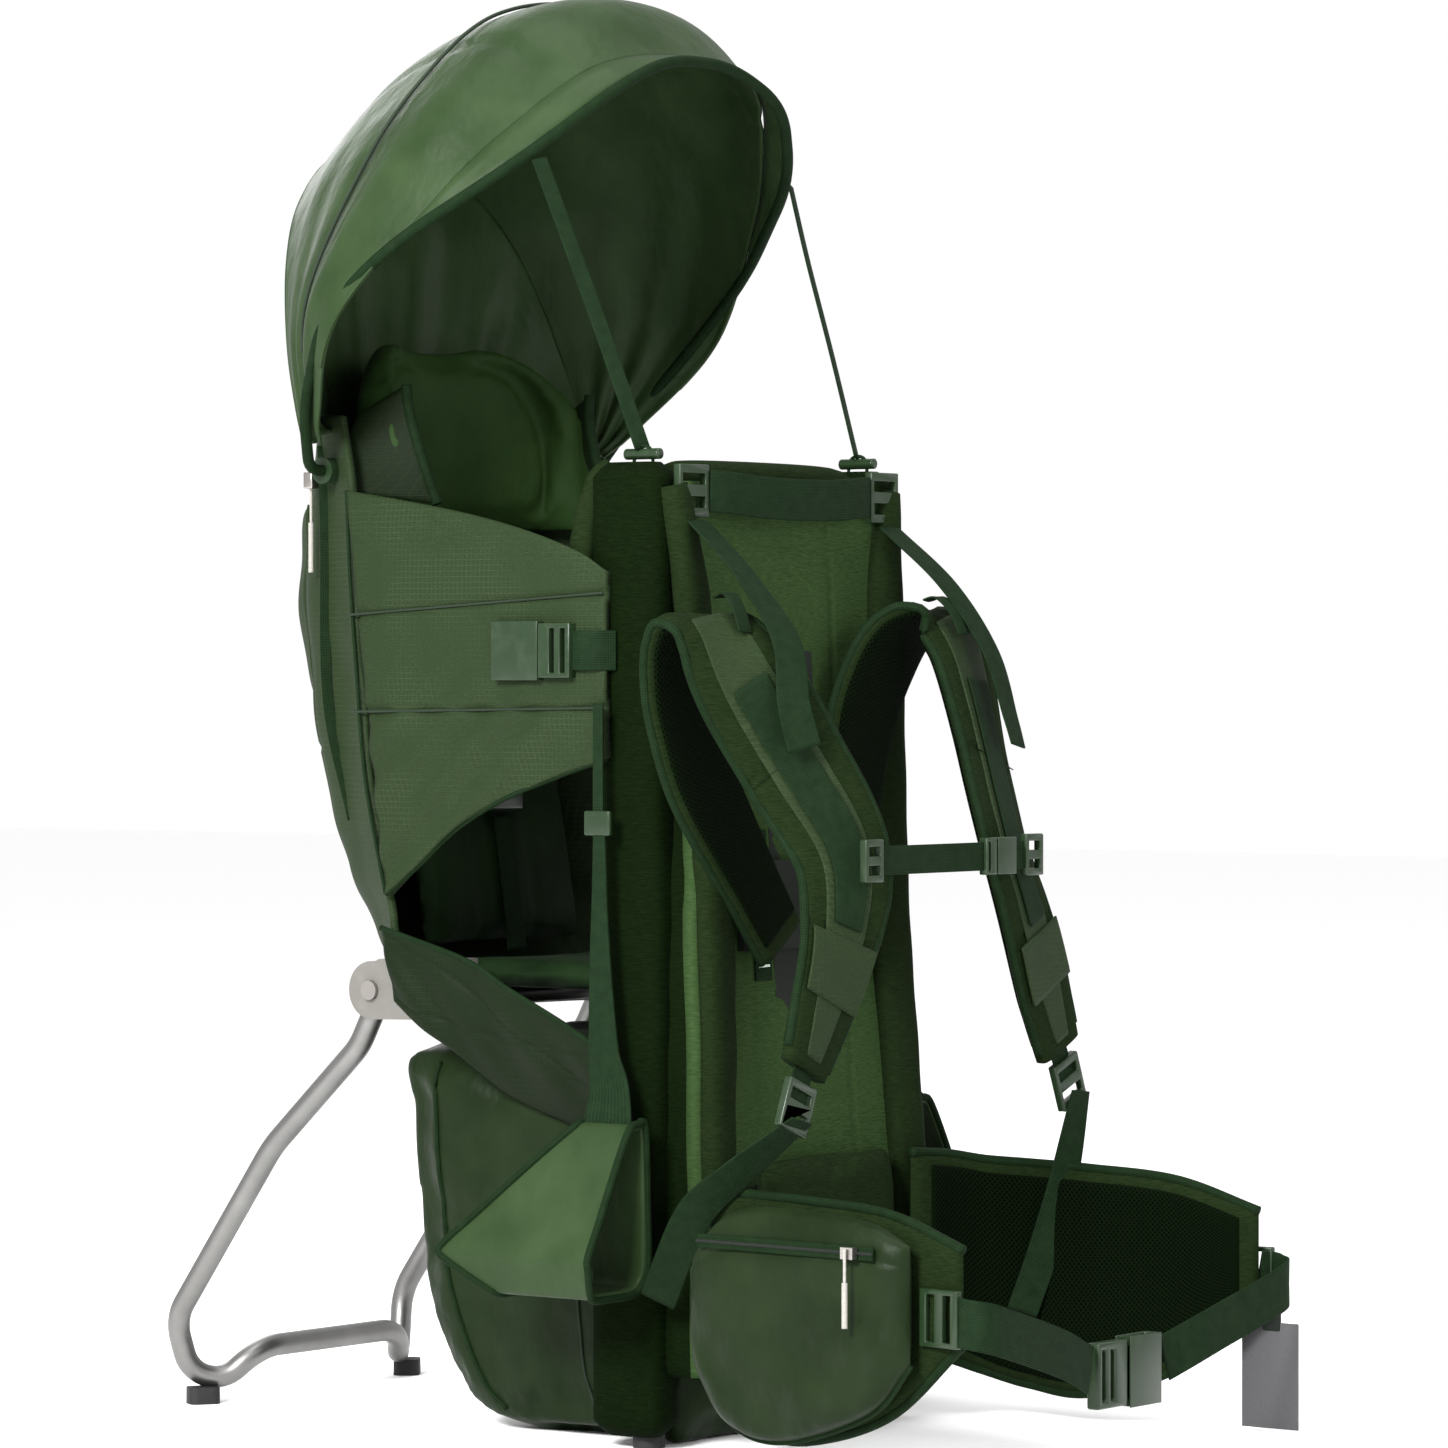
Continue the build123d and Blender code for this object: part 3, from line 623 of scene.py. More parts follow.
def moulded(name, colour, roughness=0.45):
    """Moulded plastic with a fine grain and slightly worn, paler high spots."""
    s = Shader(name, roughness=roughness, specular=0.28)
    source, _ = s.coords()
    grain = s.noise(source, 0.9, 2.0)
    wear = s.ramp(s.noise(source, 14, 3.0), 0.5, 0.8)
    paler = tuple(min(1, c * 1.12 + 0.004) for c in colour)
    return s.finish(s.mix(wear, colour, paler), s.bump(grain, 0.18, 0.12),
                    s.math("MULTIPLY_ADD", wear, 0.12, roughness))


def satin_metal(name, colour, roughness):
    """Satin anodised metal with faint drawn lines and smudges."""
    s = Shader(name, roughness=roughness, metallic=1.0)
    source, _ = s.coords()
    lines = s.noise(source, 2.5, 2.0)
    smudge = s.noise(source, 40, 3.0)
    darker = tuple(c * 0.82 for c in colour)
    return s.finish(s.mix(s.ramp(smudge, 0.3, 0.7), colour, darker), s.bump(lines, 0.12, 0.08),
                    s.math("MULTIPLY_ADD", smudge, 0.18, roughness - 0.06))


def plain_matte(name, colour, roughness=0.7, grain_mm=1.2):
    """Rubber, card, cord and thread: one tone with a fine grain."""
    s = Shader(name, roughness=roughness, specular=0.3)
    source, _ = s.coords()
    grain = s.noise(source, grain_mm, 2.0)
    darker = tuple(c * 0.8 for c in colour)
    return s.finish(s.mix(s.ramp(grain, 0.35, 0.65), colour, darker), s.bump(grain, 0.25, 0.15))


RIPSTOP = ripstop("ripstop_cloth", (0.0080, 0.0160, 0.0050), (0.0195, 0.0310, 0.0128))
# The ripstop darkened to about a third is painted shade, used on the gussets under the leg openings and on
# the headrest wings.
PAINTED_SHADE_RIPSTOP = ripstop("ripstop_cloth_painted_shade", (0.0024, 0.0060, 0.0012), (0.0062, 0.0118, 0.0036))
HEATHER = heather("heather_cloth", (0.0040, 0.0086, 0.0022), (0.0082, 0.0146, 0.0048))
PANEL_HEATHER = heather("heather_cloth_pale", (0.0135, 0.0290, 0.0082), (0.0255, 0.0460, 0.0160))
# The column heather is the heather darkened further: partly the covers' darker cloth, partly painted shade on
# the rolls and in the wedges beside the back panel.
COLUMN_HEATHER_AND_SHADE = heather("heather_cloth_dark_and_painted_shade", (0.0010, 0.0034, 0.0003), (0.0026, 0.0060, 0.0012))
NYLON = coated("coated_cloth", (0.0115, 0.0236, 0.0074), (0.0192, 0.0350, 0.0130))
BAG_NYLON = coated("coated_cloth_dark", (0.0038, 0.0092, 0.0020), (0.0076, 0.0150, 0.0044))
LINING = coated("lining_cloth", (0.0026, 0.0090, 0.0018), (0.0054, 0.0145, 0.0036), roughness=0.66)
HEAD_LINING = coated("lining_cloth_pale", (0.0085, 0.0235, 0.0042), (0.0145, 0.0340, 0.0078), roughness=0.60)
MESH = mesh_cloth("mesh_cloth", (0.0004, 0.0016, 0.0002), (0.0024, 0.0062, 0.0014))
WEB = woven_tape("webbing_tape", (0.0030, 0.0082, 0.0032), (0.0105, 0.0215, 0.0092))
BINDING = woven_tape("edge_binding", (0.0030, 0.0080, 0.0028), (0.0090, 0.0190, 0.0075), rib=2.2)
GREEN_PLASTIC = moulded("green_moulding", (0.0090, 0.0200, 0.0075), roughness=0.3)
GREY_PLASTIC = moulded("grey_moulding", (0.105, 0.102, 0.092), roughness=0.5)
BLACK_PLASTIC = moulded("black_moulding", (0.0018, 0.0040, 0.0018), roughness=0.85)
RUBBER = plain_matte("foot_rubber", (0.012, 0.012, 0.012))
ALUMINIUM = satin_metal("satin_aluminium", (0.20, 0.198, 0.192), roughness=0.4)
STEEL = satin_metal("bright_steel", (0.34, 0.32, 0.30), roughness=0.3)
CORD = plain_matte("pale_cord", (0.26, 0.25, 0.225), roughness=0.6)
CARD = plain_matte("blank_card", (0.055, 0.055, 0.058), roughness=0.6)
STITCH = plain_matte("stitching", (0.006, 0.014, 0.005), roughness=0.8, grain_mm=0.8)
SCALE_MARK = plain_matte("scale_print", (0.50, 0.58, 0.48), roughness=0.6)


def dress(obj, material, body=None, *replaced):
    """Gives a piece its material and slot, and its body and the CAD nodes that it replaces."""
    obj.data.materials.clear()
    obj.data.materials.append(material)
    if body is not None:
        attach(obj, body)
    if replaced:
        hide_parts(*replaced)
    return obj


def repaint(node, material):
    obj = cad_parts[node]
    for slot in obj.material_slots:
        slot.link = "OBJECT"
        slot.material = material


# --- CAD pieces that stay, with better materials -----------------------------------------------

PRONGS = tuple(f"{buckle}_{level}_prong" for buckle in ("sternum", "hip", "right_cockpit", "left_cockpit")
               for level in ("upper", "lower"))
for node_material, node_names in (
        (ALUMINIUM, ("frame_tube", "frame_cross_members", "kickstand_tube")),
        (RUBBER, ("frame_feet", "kickstand_clips")), (BLACK_PLASTIC, ("torso_track", "shoulder_yoke")),
        (STEEL, ("kickstand_bolts", "canopy_hoop", "right_zip_slider", "left_zip_slider")),
        (GREEN_PLASTIC, ("canopy_hubs",) + PRONGS)):
    for node_name in node_names:
        repaint(node_name, node_material)


def softened(node, width, material, body):
    """A moulding with rounded edges, in place of its sharp-edged CAD node."""
    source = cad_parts[node]
    bpy.context.view_layer.update()
    work = bmesh.new()
    work.from_mesh(source.data)
    work.transform(source.matrix_world)
    bmesh.ops.remove_doubles(work, verts=work.verts, dist=1e-6)
    bmesh.ops.dissolve_limit(work, angle_limit=radians(2), verts=work.verts, edges=work.edges)
    mesh = bpy.data.meshes.new(node + "_soft")
    work.to_mesh(mesh)
    work.free()
    obj = bpy.data.objects.new(node + "_soft", mesh)
    bpy.context.scene.collection.objects.link(obj)
    bevelled(obj, width, angle=30)
    return dress(obj, material, body, node)


for node_name, rounding, node_body in (
        ("frame_ladder_locks", 1.4, "frame"), ("lower_adjusters", 1.4, "harness"),
        ("sternum_sliders", 1.2, "sternum_strap"), ("sternum_socket", 1.2, "sternum_strap"),
        ("sternum_plug", 1.4, "sternum_strap"), ("hip_socket", 2.2, "frame"), ("hip_plug", 2.2, "frame"),
        ("cockpit_buckles", 1.3, "frame"), ("child_buckle", 3.0, "frame")):
    softened(node_name, rounding, GREEN_PLASTIC, node_body)
softened("kickstand_brackets", 4.0, GREY_PLASTIC, "frame")


# --- Cockpit side panels -----------------------------------------------------------------------

PANEL_TOP = [(-47, 703), (-22, 718), (30, 736), (92, 751), (160, 763), (226, 773)]
PANEL_FOOT = [(-47, 553), (-1, 540), (61, 519), (110, 494), (152, 462), (184, 440)]
PANEL_SEAMS = ((670, 686), (590, 594))
PANEL_X = -179.5
PANEL_DEPTH = 9


def side_panel():
    """A quilted wall: three crowned channels between level seams, with pulled creases low down."""
    rows, cols = 90, 80
    share = np.linspace(0, 1, cols)
    top_y, top_z = spline([(y, z, 0) for y, z in PANEL_TOP], cols)[:, :2].T
    foot_y, foot_z = spline([(y, z, 0) for y, z in PANEL_FOOT], cols)[:, :2].T
    seams = np.array([rear + (front - rear) * (1 - share) for rear, front in PANEL_SEAMS])
    grid = np.zeros((rows, cols, 3))
    for i, v in enumerate(np.linspace(0, 1, rows)):
        z = top_z + (foot_z - top_z) * v
        y = top_y + (foot_y - top_y) * v
        crown = 3.2 * np.sqrt(np.clip(np.sin(pi * v) * 1.6, 0, 1) * np.clip(np.sin(pi * share) * 3, 0, 1))
        notches = sum(groove(z, line, 3.4) for line in seams)
        low_and_rear = np.clip((650 - z) / 70, 0, 1) * np.clip((y + 30) / 80, 0, 1)
        creases = 1.76 * np.sin((y + z * 1.15) / 8.5) * low_and_rear
        x = PANEL_X + 2.6 - crown + 3.4 * notches + creases
        grid[i] = np.stack([x, y, z], axis=1)
    panel = grid_object("right_side_panel_cloth", grid[:, ::-1] * 0.001)
    return thicken(panel, PANEL_DEPTH, offset=1)


def both_sides(make, name, material, *nodes, body="frame"):
    """A right-hand piece and its mirror image, each dressed and riding on its body.
    {} stands for the side. A node without it holds both sides, and the right-hand piece replaces it."""
    right = make()
    left = mirrored(right, name.format("left"))
    right.name = name.format("right")
    for obj, side in ((right, "right"), (left, "left")):
        replaced = [node.format(side) for node in nodes if "{}" in node or side == "right"]
        dress(obj, material, body.format(side), *replaced)
    return right, left


def both_lines(points, radius, name, material, count=60):
    """A piping or seam line on the right, and its mirror image."""
    return both_sides(lambda: tube("line", points, radius, count), name, material)


for piece in both_sides(side_panel, "{}_side_panel_cloth", RIPSTOP, "{}_side_panel"):
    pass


for number, (rear_z, front_z) in enumerate(PANEL_SEAMS):
    seam = [(PANEL_X + 0.9, y, np.interp(y, [-46, 222], [front_z, rear_z])) for y in np.linspace(-45, 221, 8)]
    both_lines(seam, 1.0, f"{{}}_panel_seam_{number + 1}", STITCH)

PANEL_REAR = [(226, 773), (222, 700), (214, 610), (205, 530), (184, 440)]
both_lines([(PANEL_X + 4.5, y, z) for y, z in PANEL_FOOT], 2.0, "{}_leg_opening_binding", BINDING,
           14 * len(PANEL_FOOT))
both_lines([(PANEL_X + 3.5, y, z) for y, z in PANEL_REAR], 1.6, "{}_rear_edge_piping", BINDING,
           14 * len(PANEL_REAR))


# --- Rear shell, its pocket and zips -----------------------------------------------------------

SHELL_ROWS = [
    (836, [(160, 246), (150, 280), (122, 305), (66, 333), (0, 342)]),
    (775, [(174, 224), (151, 263), (122, 310), (66, 342), (0, 350)]),
    (700, [(174, 220), (151, 260), (123, 315), (66, 346), (0, 354)]),
    (620, [(174, 214), (151, 252), (122, 310), (66, 341), (0, 349)]),
    (560, [(174, 208), (151, 244), (121, 302), (66, 333), (0, 341)]),
    (480, [(172, 196), (150, 232), (120, 280), (65, 303), (0, 309)]),
    (420, [(168, 186), (148, 212), (116, 252), (62, 270), (0, 275)]),
    (385, [(164, 176), (144, 198), (114, 232), (60, 248), (0, 252)]),
    (340, [(150, 160), (136, 180), (112, 202), (60, 212), (0, 214)]),
]


def full_line(half):
    return [(-x, y) for x, y in half] + [(x, y) for x, y in half[-2::-1]]


def plan_surface(rows, count_z, count_u):
    """A surface lofted through plan lines at several heights, given from the right edge to the middle."""
    stack = np.array([spline([(x, y, z) for x, y in full_line(half)], count_u) for z, half in rows])
    return np.stack([spline(stack[:, j], count_z) for j in range(count_u)], axis=1)


def plan_wall(name, rows, count_z, count_u, relief):
    """A lofted wall, pushed outward by relief(x, z) in millimetres."""
    grid = plan_surface(rows, count_z, count_u)
    outward = np.stack([grid[..., 0] * 0.6, grid[..., 1] - 60], axis=-1)
    outward /= np.linalg.norm(outward, axis=-1)[..., None]
    grid[..., :2] += outward * relief(grid[..., 0], grid[..., 2])[..., None]
    return grid_object(name, grid[:, ::-1] * 0.001)


def shell_relief(x, z):
    """Crowned panels between upright seams, with soft folds at the waist."""
    seams = groove(np.abs(x), 122, 2.2) + 0.7 * groove(z, 560, 2.4)
    folds = 1.5 * np.sin(z / 9 + x / 31) * groove(z, 440, 60)
    folds += 1.2 * np.sin(z / 17 - x / 23) * groove(z, 620, 90)
    return folds - 2.4 * seams


shell = plan_wall("rear_shell_cloth", SHELL_ROWS, 110, 120, shell_relief)
thicken(shell, 6, offset=1)
dress(shell, RIPSTOP, "frame", "rear_shell")

POCKET_ROWS = [
    (765, [(96, 338), (78, 350), (52, 356), (26, 359), (0, 360)]),
    (752, [(103, 334), (84, 353), (56, 362), (28, 366), (0, 367)]),
    (700, [(108, 332), (88, 355), (58, 366), (29, 371), (0, 372)]),
    (650, [(106, 331), (86, 354), (57, 365), (28, 370), (0, 371)]),
    (608, [(98, 328), (80, 346), (54, 357), (26, 361), (0, 362)]),
    (594, [(88, 328), (74, 336), (50, 344), (25, 348), (0, 349)]),
]
pocket = plan_wall("rear_pocket_cloth", POCKET_ROWS, 50, 70, lambda x, z: 1.4 * np.sin(z / 12 + x / 19) - 1.5)
thicken(pocket, 4, offset=1)
dress(pocket, RIPSTOP, "frame", "rear_pocket")


ZIP_ROUTE = [(146, 278, 812), (147, 274, 740), (146, 272, 600), (140, 250, 500)]
for side, sign in (("right", -1), ("left", 1)):
    zip_route = [(sign * x, y, z) for x, y, z in ZIP_ROUTE]
    dress(webbing(f"{side}_rear_zip_tape", zip_route, (0.7 * sign, 0.7, 0), 9, 1.6), BINDING, "frame")


# --- Frame columns and back panel --------------------------------------------------------------

COLUMN_MIDDLE = (-149, -54.5)
COLUMN_HALF = (19.5, 35.5)


def column():
    """The padded roll over a frame leg: two crowned lobes with a seam between them."""
    outline = []
    for z in np.linspace(10, 791, 130):
        squeeze = np.sqrt(np.clip(min(z - 6, 795 - z) / 16, 0.05, 1))
        pull = 1.2 * groove(z, 598, 6) + 1.0 * groove(z, 690, 5)
        ring = []
        for angle in np.linspace(0, 2 * pi, 56, endpoint=False):
            c, s = cos(angle), sin(angle)
            x = np.sign(c) * abs(c) ** 0.62 * COLUMN_HALF[0]
            y = np.sign(s) * abs(s) ** 0.62 * COLUMN_HALF[1]
            seam = 2.6 * groove(y, -6, 3.2) * (1 if c < 0 else 0.3)
            fold = 0.7 * sin(z / 23 + angle * 2) + 0.5 * sin(z / 9.5 - angle)
            shrink = squeeze * (1 - (seam + pull + fold * 0.8) / 38)
            deepen = (0.35 + 0.65 * squeeze) * (1 - pull / 60)
            ring.append((COLUMN_MIDDLE[0] + x * shrink, COLUMN_MIDDLE[1] + y * deepen, z))
        outline.append(ring)
    return grid_object("column", np.array(outline) * 0.001, wrap=True, caps=True)


# The column covers wear the darker heather, partly their own cloth and partly painted shade.
for piece in both_sides(column, "{}_column_cover_cloth", COLUMN_HEATHER_AND_SHADE, "column_covers"):
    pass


def panel_face(z):
    """Y of the back panel's front face at height z, in millimetres."""
    low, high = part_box("back_panel")
    top_y, foot_y = -86.0, low[1] * 1000
    return top_y + (foot_y - top_y) * (high[2] * 1000 - z) / ((high[2] - low[2]) * 1000)


def back_panel():
    """A padded board cover: a middle field between upright seams, and level quilting lines."""
    rows, cols = 120, 70
    grid = np.zeros((rows, cols, 3))
    for i, z in enumerate(np.linspace(776, 62, rows)):
        half = 126 + (158 - 126) * (770 - z) / 710
        half *= 1 - 0.035 * np.clip((z - 745) / 31, 0, 1) ** 2
        x = np.linspace(-half, half, cols)
        out = np.abs(x)
        seams = groove(out, 66, 2.0) + 0.8 * groove(z, 640, 2.0) * (out > 40)
        seams = seams + 0.7 * groove((z + 14) % 44, 22, 2.0) * (out < 60) * (z < 600)
        edges = 4.2 * (out / half) ** 6
        y = panel_face(z) - edges + 1.8 * seams + 0.8 * np.sin(x / 19 + z / 27) - 1.5
        grid[i] = np.stack([x, y, np.full(cols, z)], axis=1)
    panel = grid_object("back_panel_cloth", grid * 0.001)
    return thicken(panel, 12, offset=1)


dress(back_panel(), PANEL_HEATHER, "frame", "back_panel")


# --- Back panel details: side bolsters, scale tape ---------------------------------------------

BOLSTER_ROUTE = [(-146, -90, 772), (-134, -98, 700), (-127, -103, 610), (-122, -108, 520), (-120, -113, 420),
                 (-124, -119, 320), (-130, -123, 230), (-134, -127, 150), (-136, -129, 76)]
BOLSTER_WIDTH = [26, 36, 40, 42, 42, 40, 38, 36, 26]


def bolster():
    """A padded roll down each edge of the back panel, slightly rippled along its length."""
    return band("bolster", BOLSTER_ROUTE, (1, 0.15, 0), BOLSTER_WIDTH, 24, 70, 0.8, 22,
                lambda t, x: 1 + 0.06 * np.sin(t * 60))


for piece in both_sides(bolster, "{}_back_bolster", HEATHER):
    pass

SLEEVE_HALF = [(-138, -63, 742), (-132, -63, 762), (-116, -63, 776), (-90, -63, 780)]
sleeve_line = SLEEVE_HALF + [(0, -63, 781)] + mirror_points(SLEEVE_HALF[::-1])
dress(tube("frame_top_sleeve", sleeve_line, 14, 90, up=(0, 1, 0)), HEATHER, "frame")

TAPE_X = -52
TAPE_Z = (373, 495)


def on_panel(x, z, out):
    return (x, panel_face(z) - out, z)


tape_line = [on_panel(TAPE_X, z, 3.4) for z in np.linspace(*TAPE_Z, 5)]
dress(webbing("torso_scale_tape", tape_line, (1, 0, 0), 22, 1.6), BINDING, "frame")
for tick_number in range(7):
    reach = 7 if tick_number % 3 == 0 else 4
    x, y, z = on_panel(TAPE_X, TAPE_Z[0] + 12 + tick_number * 16, 4.6)
    tick = box_mesh(f"torso_scale_tick_{tick_number + 1}", (x - reach, y - 0.5, z - 1.1),
                    (x + reach, y + 0.6, z + 1.1), 0.3)
    dress(tick, SCALE_MARK, "frame")

# --- Seat, headrest and chest pad --------------------------------------------------------------

seat_front = line_across(114, -12, 375, -12, 372)
seat_rear = line_across(114, 184, 375, 184, 372)
seat = cushion("seat_base_pad", surface_between(seat_front, seat_rear, 40, 46), 17,
               relief=sewn(2.0, upright=((0.3, 0.02), (0.7, 0.02)), level=((0.5, 0.02),)))
puff(seat, pressure=2, cap=4)
dress(seat, LINING, "frame", "seat_base")


def seat_back_at(x, z, out=0.0):
    return (x, 195 + (z - 400) / 6 + out, z)


seat_rest = cushion("seat_back_pad",
                    surface_between([seat_back_at(x, 733, 9) for x in (106, 0, -106)],
                                    [seat_back_at(x, 388, 9) for x in (106, 0, -106)], 60, 44), 17,
                    relief=sewn(2.2, upright=((0.33, 0.02), (0.67, 0.02)),
                                level=((0.3, 0.015), (0.62, 0.015))))
puff(seat_rest, pressure=2, cap=5)
dress(seat_rest, LINING, "frame", "seat_back")

HEADREST_ROWS = [
    (742, [(124, 204), (114, 252), (66, 272), (0, 280)]),
    (790, [(126, 204), (116, 252), (66, 272), (0, 280)]),
    (840, [(122, 208), (112, 254), (66, 273), (0, 280)]),
    (872, [(110, 228), (96, 262), (58, 276), (0, 281)]),
    (893, [(84, 252), (72, 272), (44, 280), (0, 283)]),
    (902, [(50, 268), (42, 276), (26, 281), (0, 284)]),
]


head_pad = cushion("headrest_pad", plan_surface(HEADREST_ROWS, 60, 74), 17, edge=8,
                   relief=sewn(1.6, level=((0.82, 0.02),)))
puff(head_pad, pressure=3, cap=6)
dress(head_pad, HEAD_LINING, "frame", "headrest")

EDGE_STRAP = [(-123, 206, 862), (-121, 205, 842), (-119, 198, 815), (-117, 188, 786), (-114, 180, 762)]
WING_REAR = [(-132, 250, 838), (-142, 252, 822), (-149, 250, 805), (-156, 246, 790), (-164, 240, 772)]


def headrest_wing():
    """The slanting ripstop wing between the headrest's bound edge and the side of the shell."""
    return cushion("wing", surface_between(EDGE_STRAP, WING_REAR, 26, 34), 5, edge=12,
                   relief=lambda u, v: 1.2 * np.sin(u * 9 + v * 14) * np.sin(pi * v))


# The wings wear the ripstop darkened as painted shade.
both_sides(headrest_wing, "{}_headrest_wing", PAINTED_SHADE_RIPSTOP)
both_lines(EDGE_STRAP, 4.6, "{}_headrest_binding", BINDING)

chest_top = line_across(93, -33, 762, -36, 764)
chest_foot = line_across(93, -33, 603, -36, 603)
chest = cushion("chest_pad_cushion", surface_between(chest_top, chest_foot, 46, 50), 24)
puff(chest, pressure=3, cap=5)
dress(chest, LINING, "frame", "chest_pad")
CHEST_RIM_HALF = [(-92, -24, 604), (-93, -22, 700), (-80, -20, 748), (-40, -19, 762)]
chest_rim_line = CHEST_RIM_HALF + [(0, -19, 765)] + mirror_points(CHEST_RIM_HALF[::-1])
dress(tube("chest_pad_rim", chest_rim_line, 6.5, 110), HEATHER, "frame")

for sign, side in ((-1, "right"), (1, "left")):
    over_shoulder = [seat_back_at(sign * x, z, out) for x, z, out in
                     ((48, 728, -5), (45, 680, -7), (39, 638, -7), (27, 596, -8), (14, 557, -9))]
    dress(webbing(f"{side}_child_shoulder_strap", over_shoulder, (1, 0, 0), 24, 1.8), WEB, "frame",
          *(["child_harness"] if sign < 0 else []))
    pad = band(f"{side}_child_strap_pad", over_shoulder, (1, 0, 0), [30, 38, 38, 34, 20], 9, 40, 0.5, 20,
               part=(0.08, 0.72))
    dress(pad, LINING, "frame")
crotch = [seat_back_at(0, 501, -9), seat_back_at(0, 440, -8), seat_back_at(0, 388, -6)]
dress(webbing("child_crotch_strap", crotch, (1, 0, 0), 24, 1.8), WEB, "frame")

ROLL_ROUTE = [(-158, -10, 556), (-160, -9, 640), (-159, -10, 720), (-152, -18, 770), (-144, -30, 788)]


def cockpit_roll():
    """The padded roll inside the cockpit's front edge, beside the frame cover."""
    return band("roll", ROLL_ROUTE, (1, 0.5, 0), [20, 24, 25, 24, 18], 22, 60, 0.85, 20,
                lambda t, x: 1 + 0.05 * np.sin(t * 55))


for piece in both_sides(cockpit_roll, "{}_cockpit_roll", HEATHER):
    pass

# --- Leg opening gussets -----------------------------------------------------------------------

GUSSET_TOP = [(-169, -52, 312), (-170, -20, 328), (-169, 9, 342), (-171, 60, 366), (-172, 103, 388),
              (-170, 194, 412)]
GUSSET_FOOT = [(-150, -52, 236), (-140, -20, 244), (-138, 20, 256), (-140, 80, 276), (-160, 124, 312),
               (-168, 152, 330), (-170, 180, 352)]


def gusset():
    """The side wall under the leg opening: pulled folds run from the bracket down to the bag."""
    surface = surface_between(GUSSET_TOP, GUSSET_FOOT, 40, 64)
    u, v = np.meshgrid(np.linspace(0, 1, 64), np.linspace(0, 1, 40))
    surface[..., 0] -= 6 * np.sin(pi * v) * np.sin(pi * u) ** 0.5
    surface[..., 0] += 2.2 * np.sin(u * 21 + v * 7) * np.sin(pi * v)
    return cushion("gusset", surface, 5, edge=12,
                   relief=lambda u, v: (-2.0 * groove(v - 0.55 + 0.5 * u, 0, 0.02)
                                        - 1.6 * groove(v - 0.9 * u, 0.02, 0.02)))


# The gussets wear the ripstop darkened as painted shade.
both_sides(gusset, "{}_leg_gusset", PAINTED_SHADE_RIPSTOP)
both_lines(GUSSET_TOP, 2.4, "{}_leg_gusset_binding", BINDING)


def column_web():
    """Fabric that closes the wedge between a frame cover and the back panel."""
    heights = np.linspace(60, 776, 14)
    rear = [(-150, -76, z) for z in heights[::-1]]
    front = [(-(122 + 32 * (770 - z) / 710), panel_face(z) + 3, z) for z in heights[::-1]]
    return cushion("web", surface_between(rear, front, 14, 90), 7, edge=20,
                   relief=lambda u, v: 0.8 * np.sin(u * 60) * np.sin(pi * v))


# The webs in the wedges wear the darker heather, partly their own cloth and partly painted shade.
both_sides(column_web, "{}_column_web", COLUMN_HEATHER_AND_SHADE)


def seat_front_wall():
    """The lining that runs from the chest pad down to the seat's front edge."""
    top = line_across(118, -20, 604, -22, 606)
    foot = line_across(137, -14, 306, -14, 304)
    return cushion("seat_front_lining", surface_between(top, foot, 40, 40), 6, edge=20,
                   relief=lambda u, v: 1.6 * np.sin(u * 16 + v * 9) * np.sin(pi * v))


dress(seat_front_wall(), LINING, "frame")

# --- Lower bag ---------------------------------------------------------------------------------

BAG_LINE = [(-86, 6), (-40, 3), (64, 2), (122, 6), (157, 38), (189, 104), (205, 185), (210, 262), (208, 314),
            (60, 318), (-60, 318), (-86, 312), (-88, 160)]
BAG_HALF = 126


def rounded_prism(name, line, half, corner, rows=54, cols=120, bulge=3):
    """A soft box: an outline in Y and Z carried from -half to half in X, closed by gridded side walls."""
    ring = spline([(y, z, 0) for y, z in line], cols, closed=True)[:-1, :2]
    middle = ring.mean(0)
    away = ring - middle
    inset = corner / 160
    layers = []
    for share in np.linspace(0.03, 1, 16):
        layers.append((-half - bulge * (1 - share ** 2), share * (1 - inset)))
    for angle in np.linspace(0, pi / 2, 7)[1:]:
        layers.append((-half + corner * (1 - cos(angle)), 1 - inset + inset * sin(angle)))
    near = [np.column_stack([np.full(len(ring), x), middle + away * share]) for x, share in layers]
    far = [np.column_stack([-layer[:, 0], layer[:, 1:]]) for layer in near[::-1]]
    between = [np.column_stack([np.full(len(ring), x), ring])
               for x in np.linspace(-half + corner, half - corner, rows)[1:-1]]
    return grid_object(name, np.array(near + between + far) * 0.001, wrap=True, caps=True)


bag = rounded_prism("lower_bag_body", BAG_LINE, BAG_HALF, 7)
move_points(bag, lambda at, normal: normal * (3.4 * bumps(at, 52, 3, (1, 1, 0.6))
                                              + 1.2 * bumps(at, 17, 9, (1, 0.6, 1)) - 1.5)[:, None])
puff(bag, voxel=6, pressure=3, cap=7, stiffness=4)
dress(bag, BAG_NYLON, "frame", "lower_bag")


def snapped(obj, line, direction, lift, count=50):
    """A line in millimetres laid on a piece's surface, found along a direction, and lifted off it."""
    toward = Vector(direction).normalized()
    laid = []
    for p in spline(line, count):
        start = Vector(p) * 0.001 - toward * mm(60)
        hit, at, _, _ = obj.ray_cast(start, toward)
        spot = at if hit else Vector(p) * 0.001
        laid.append(tuple((spot - toward * mm(lift)) * 1000))
    return laid


BAG_PIPING = [(168, 300), (166, 240), (156, 145), (138, 84), (116, 40), (96, 18)]
BAG_SEAM = [(20, 300), (22, 200), (14, 100), (8, 22)]
for label, line, radius, material in (("piping", BAG_PIPING, 2.2, BINDING), ("seam", BAG_SEAM, 1.2, STITCH)):
    line = [(-BAG_HALF - 2, y, z) for y, z in line]
    both_lines(snapped(bag, line, (1, 0, 0), 0.6), radius, "{}_bag_" + label, material)

# --- Cockpit webbing and haul handle -----------------------------------------------------------


def cockpit_web():
    route = [(-183.8, -18.5, 640), (-184.2, -30, 640), (-181, -42, 640), (-170, -52, 640)]
    return webbing("web", route, (0, 0, 1), 32)


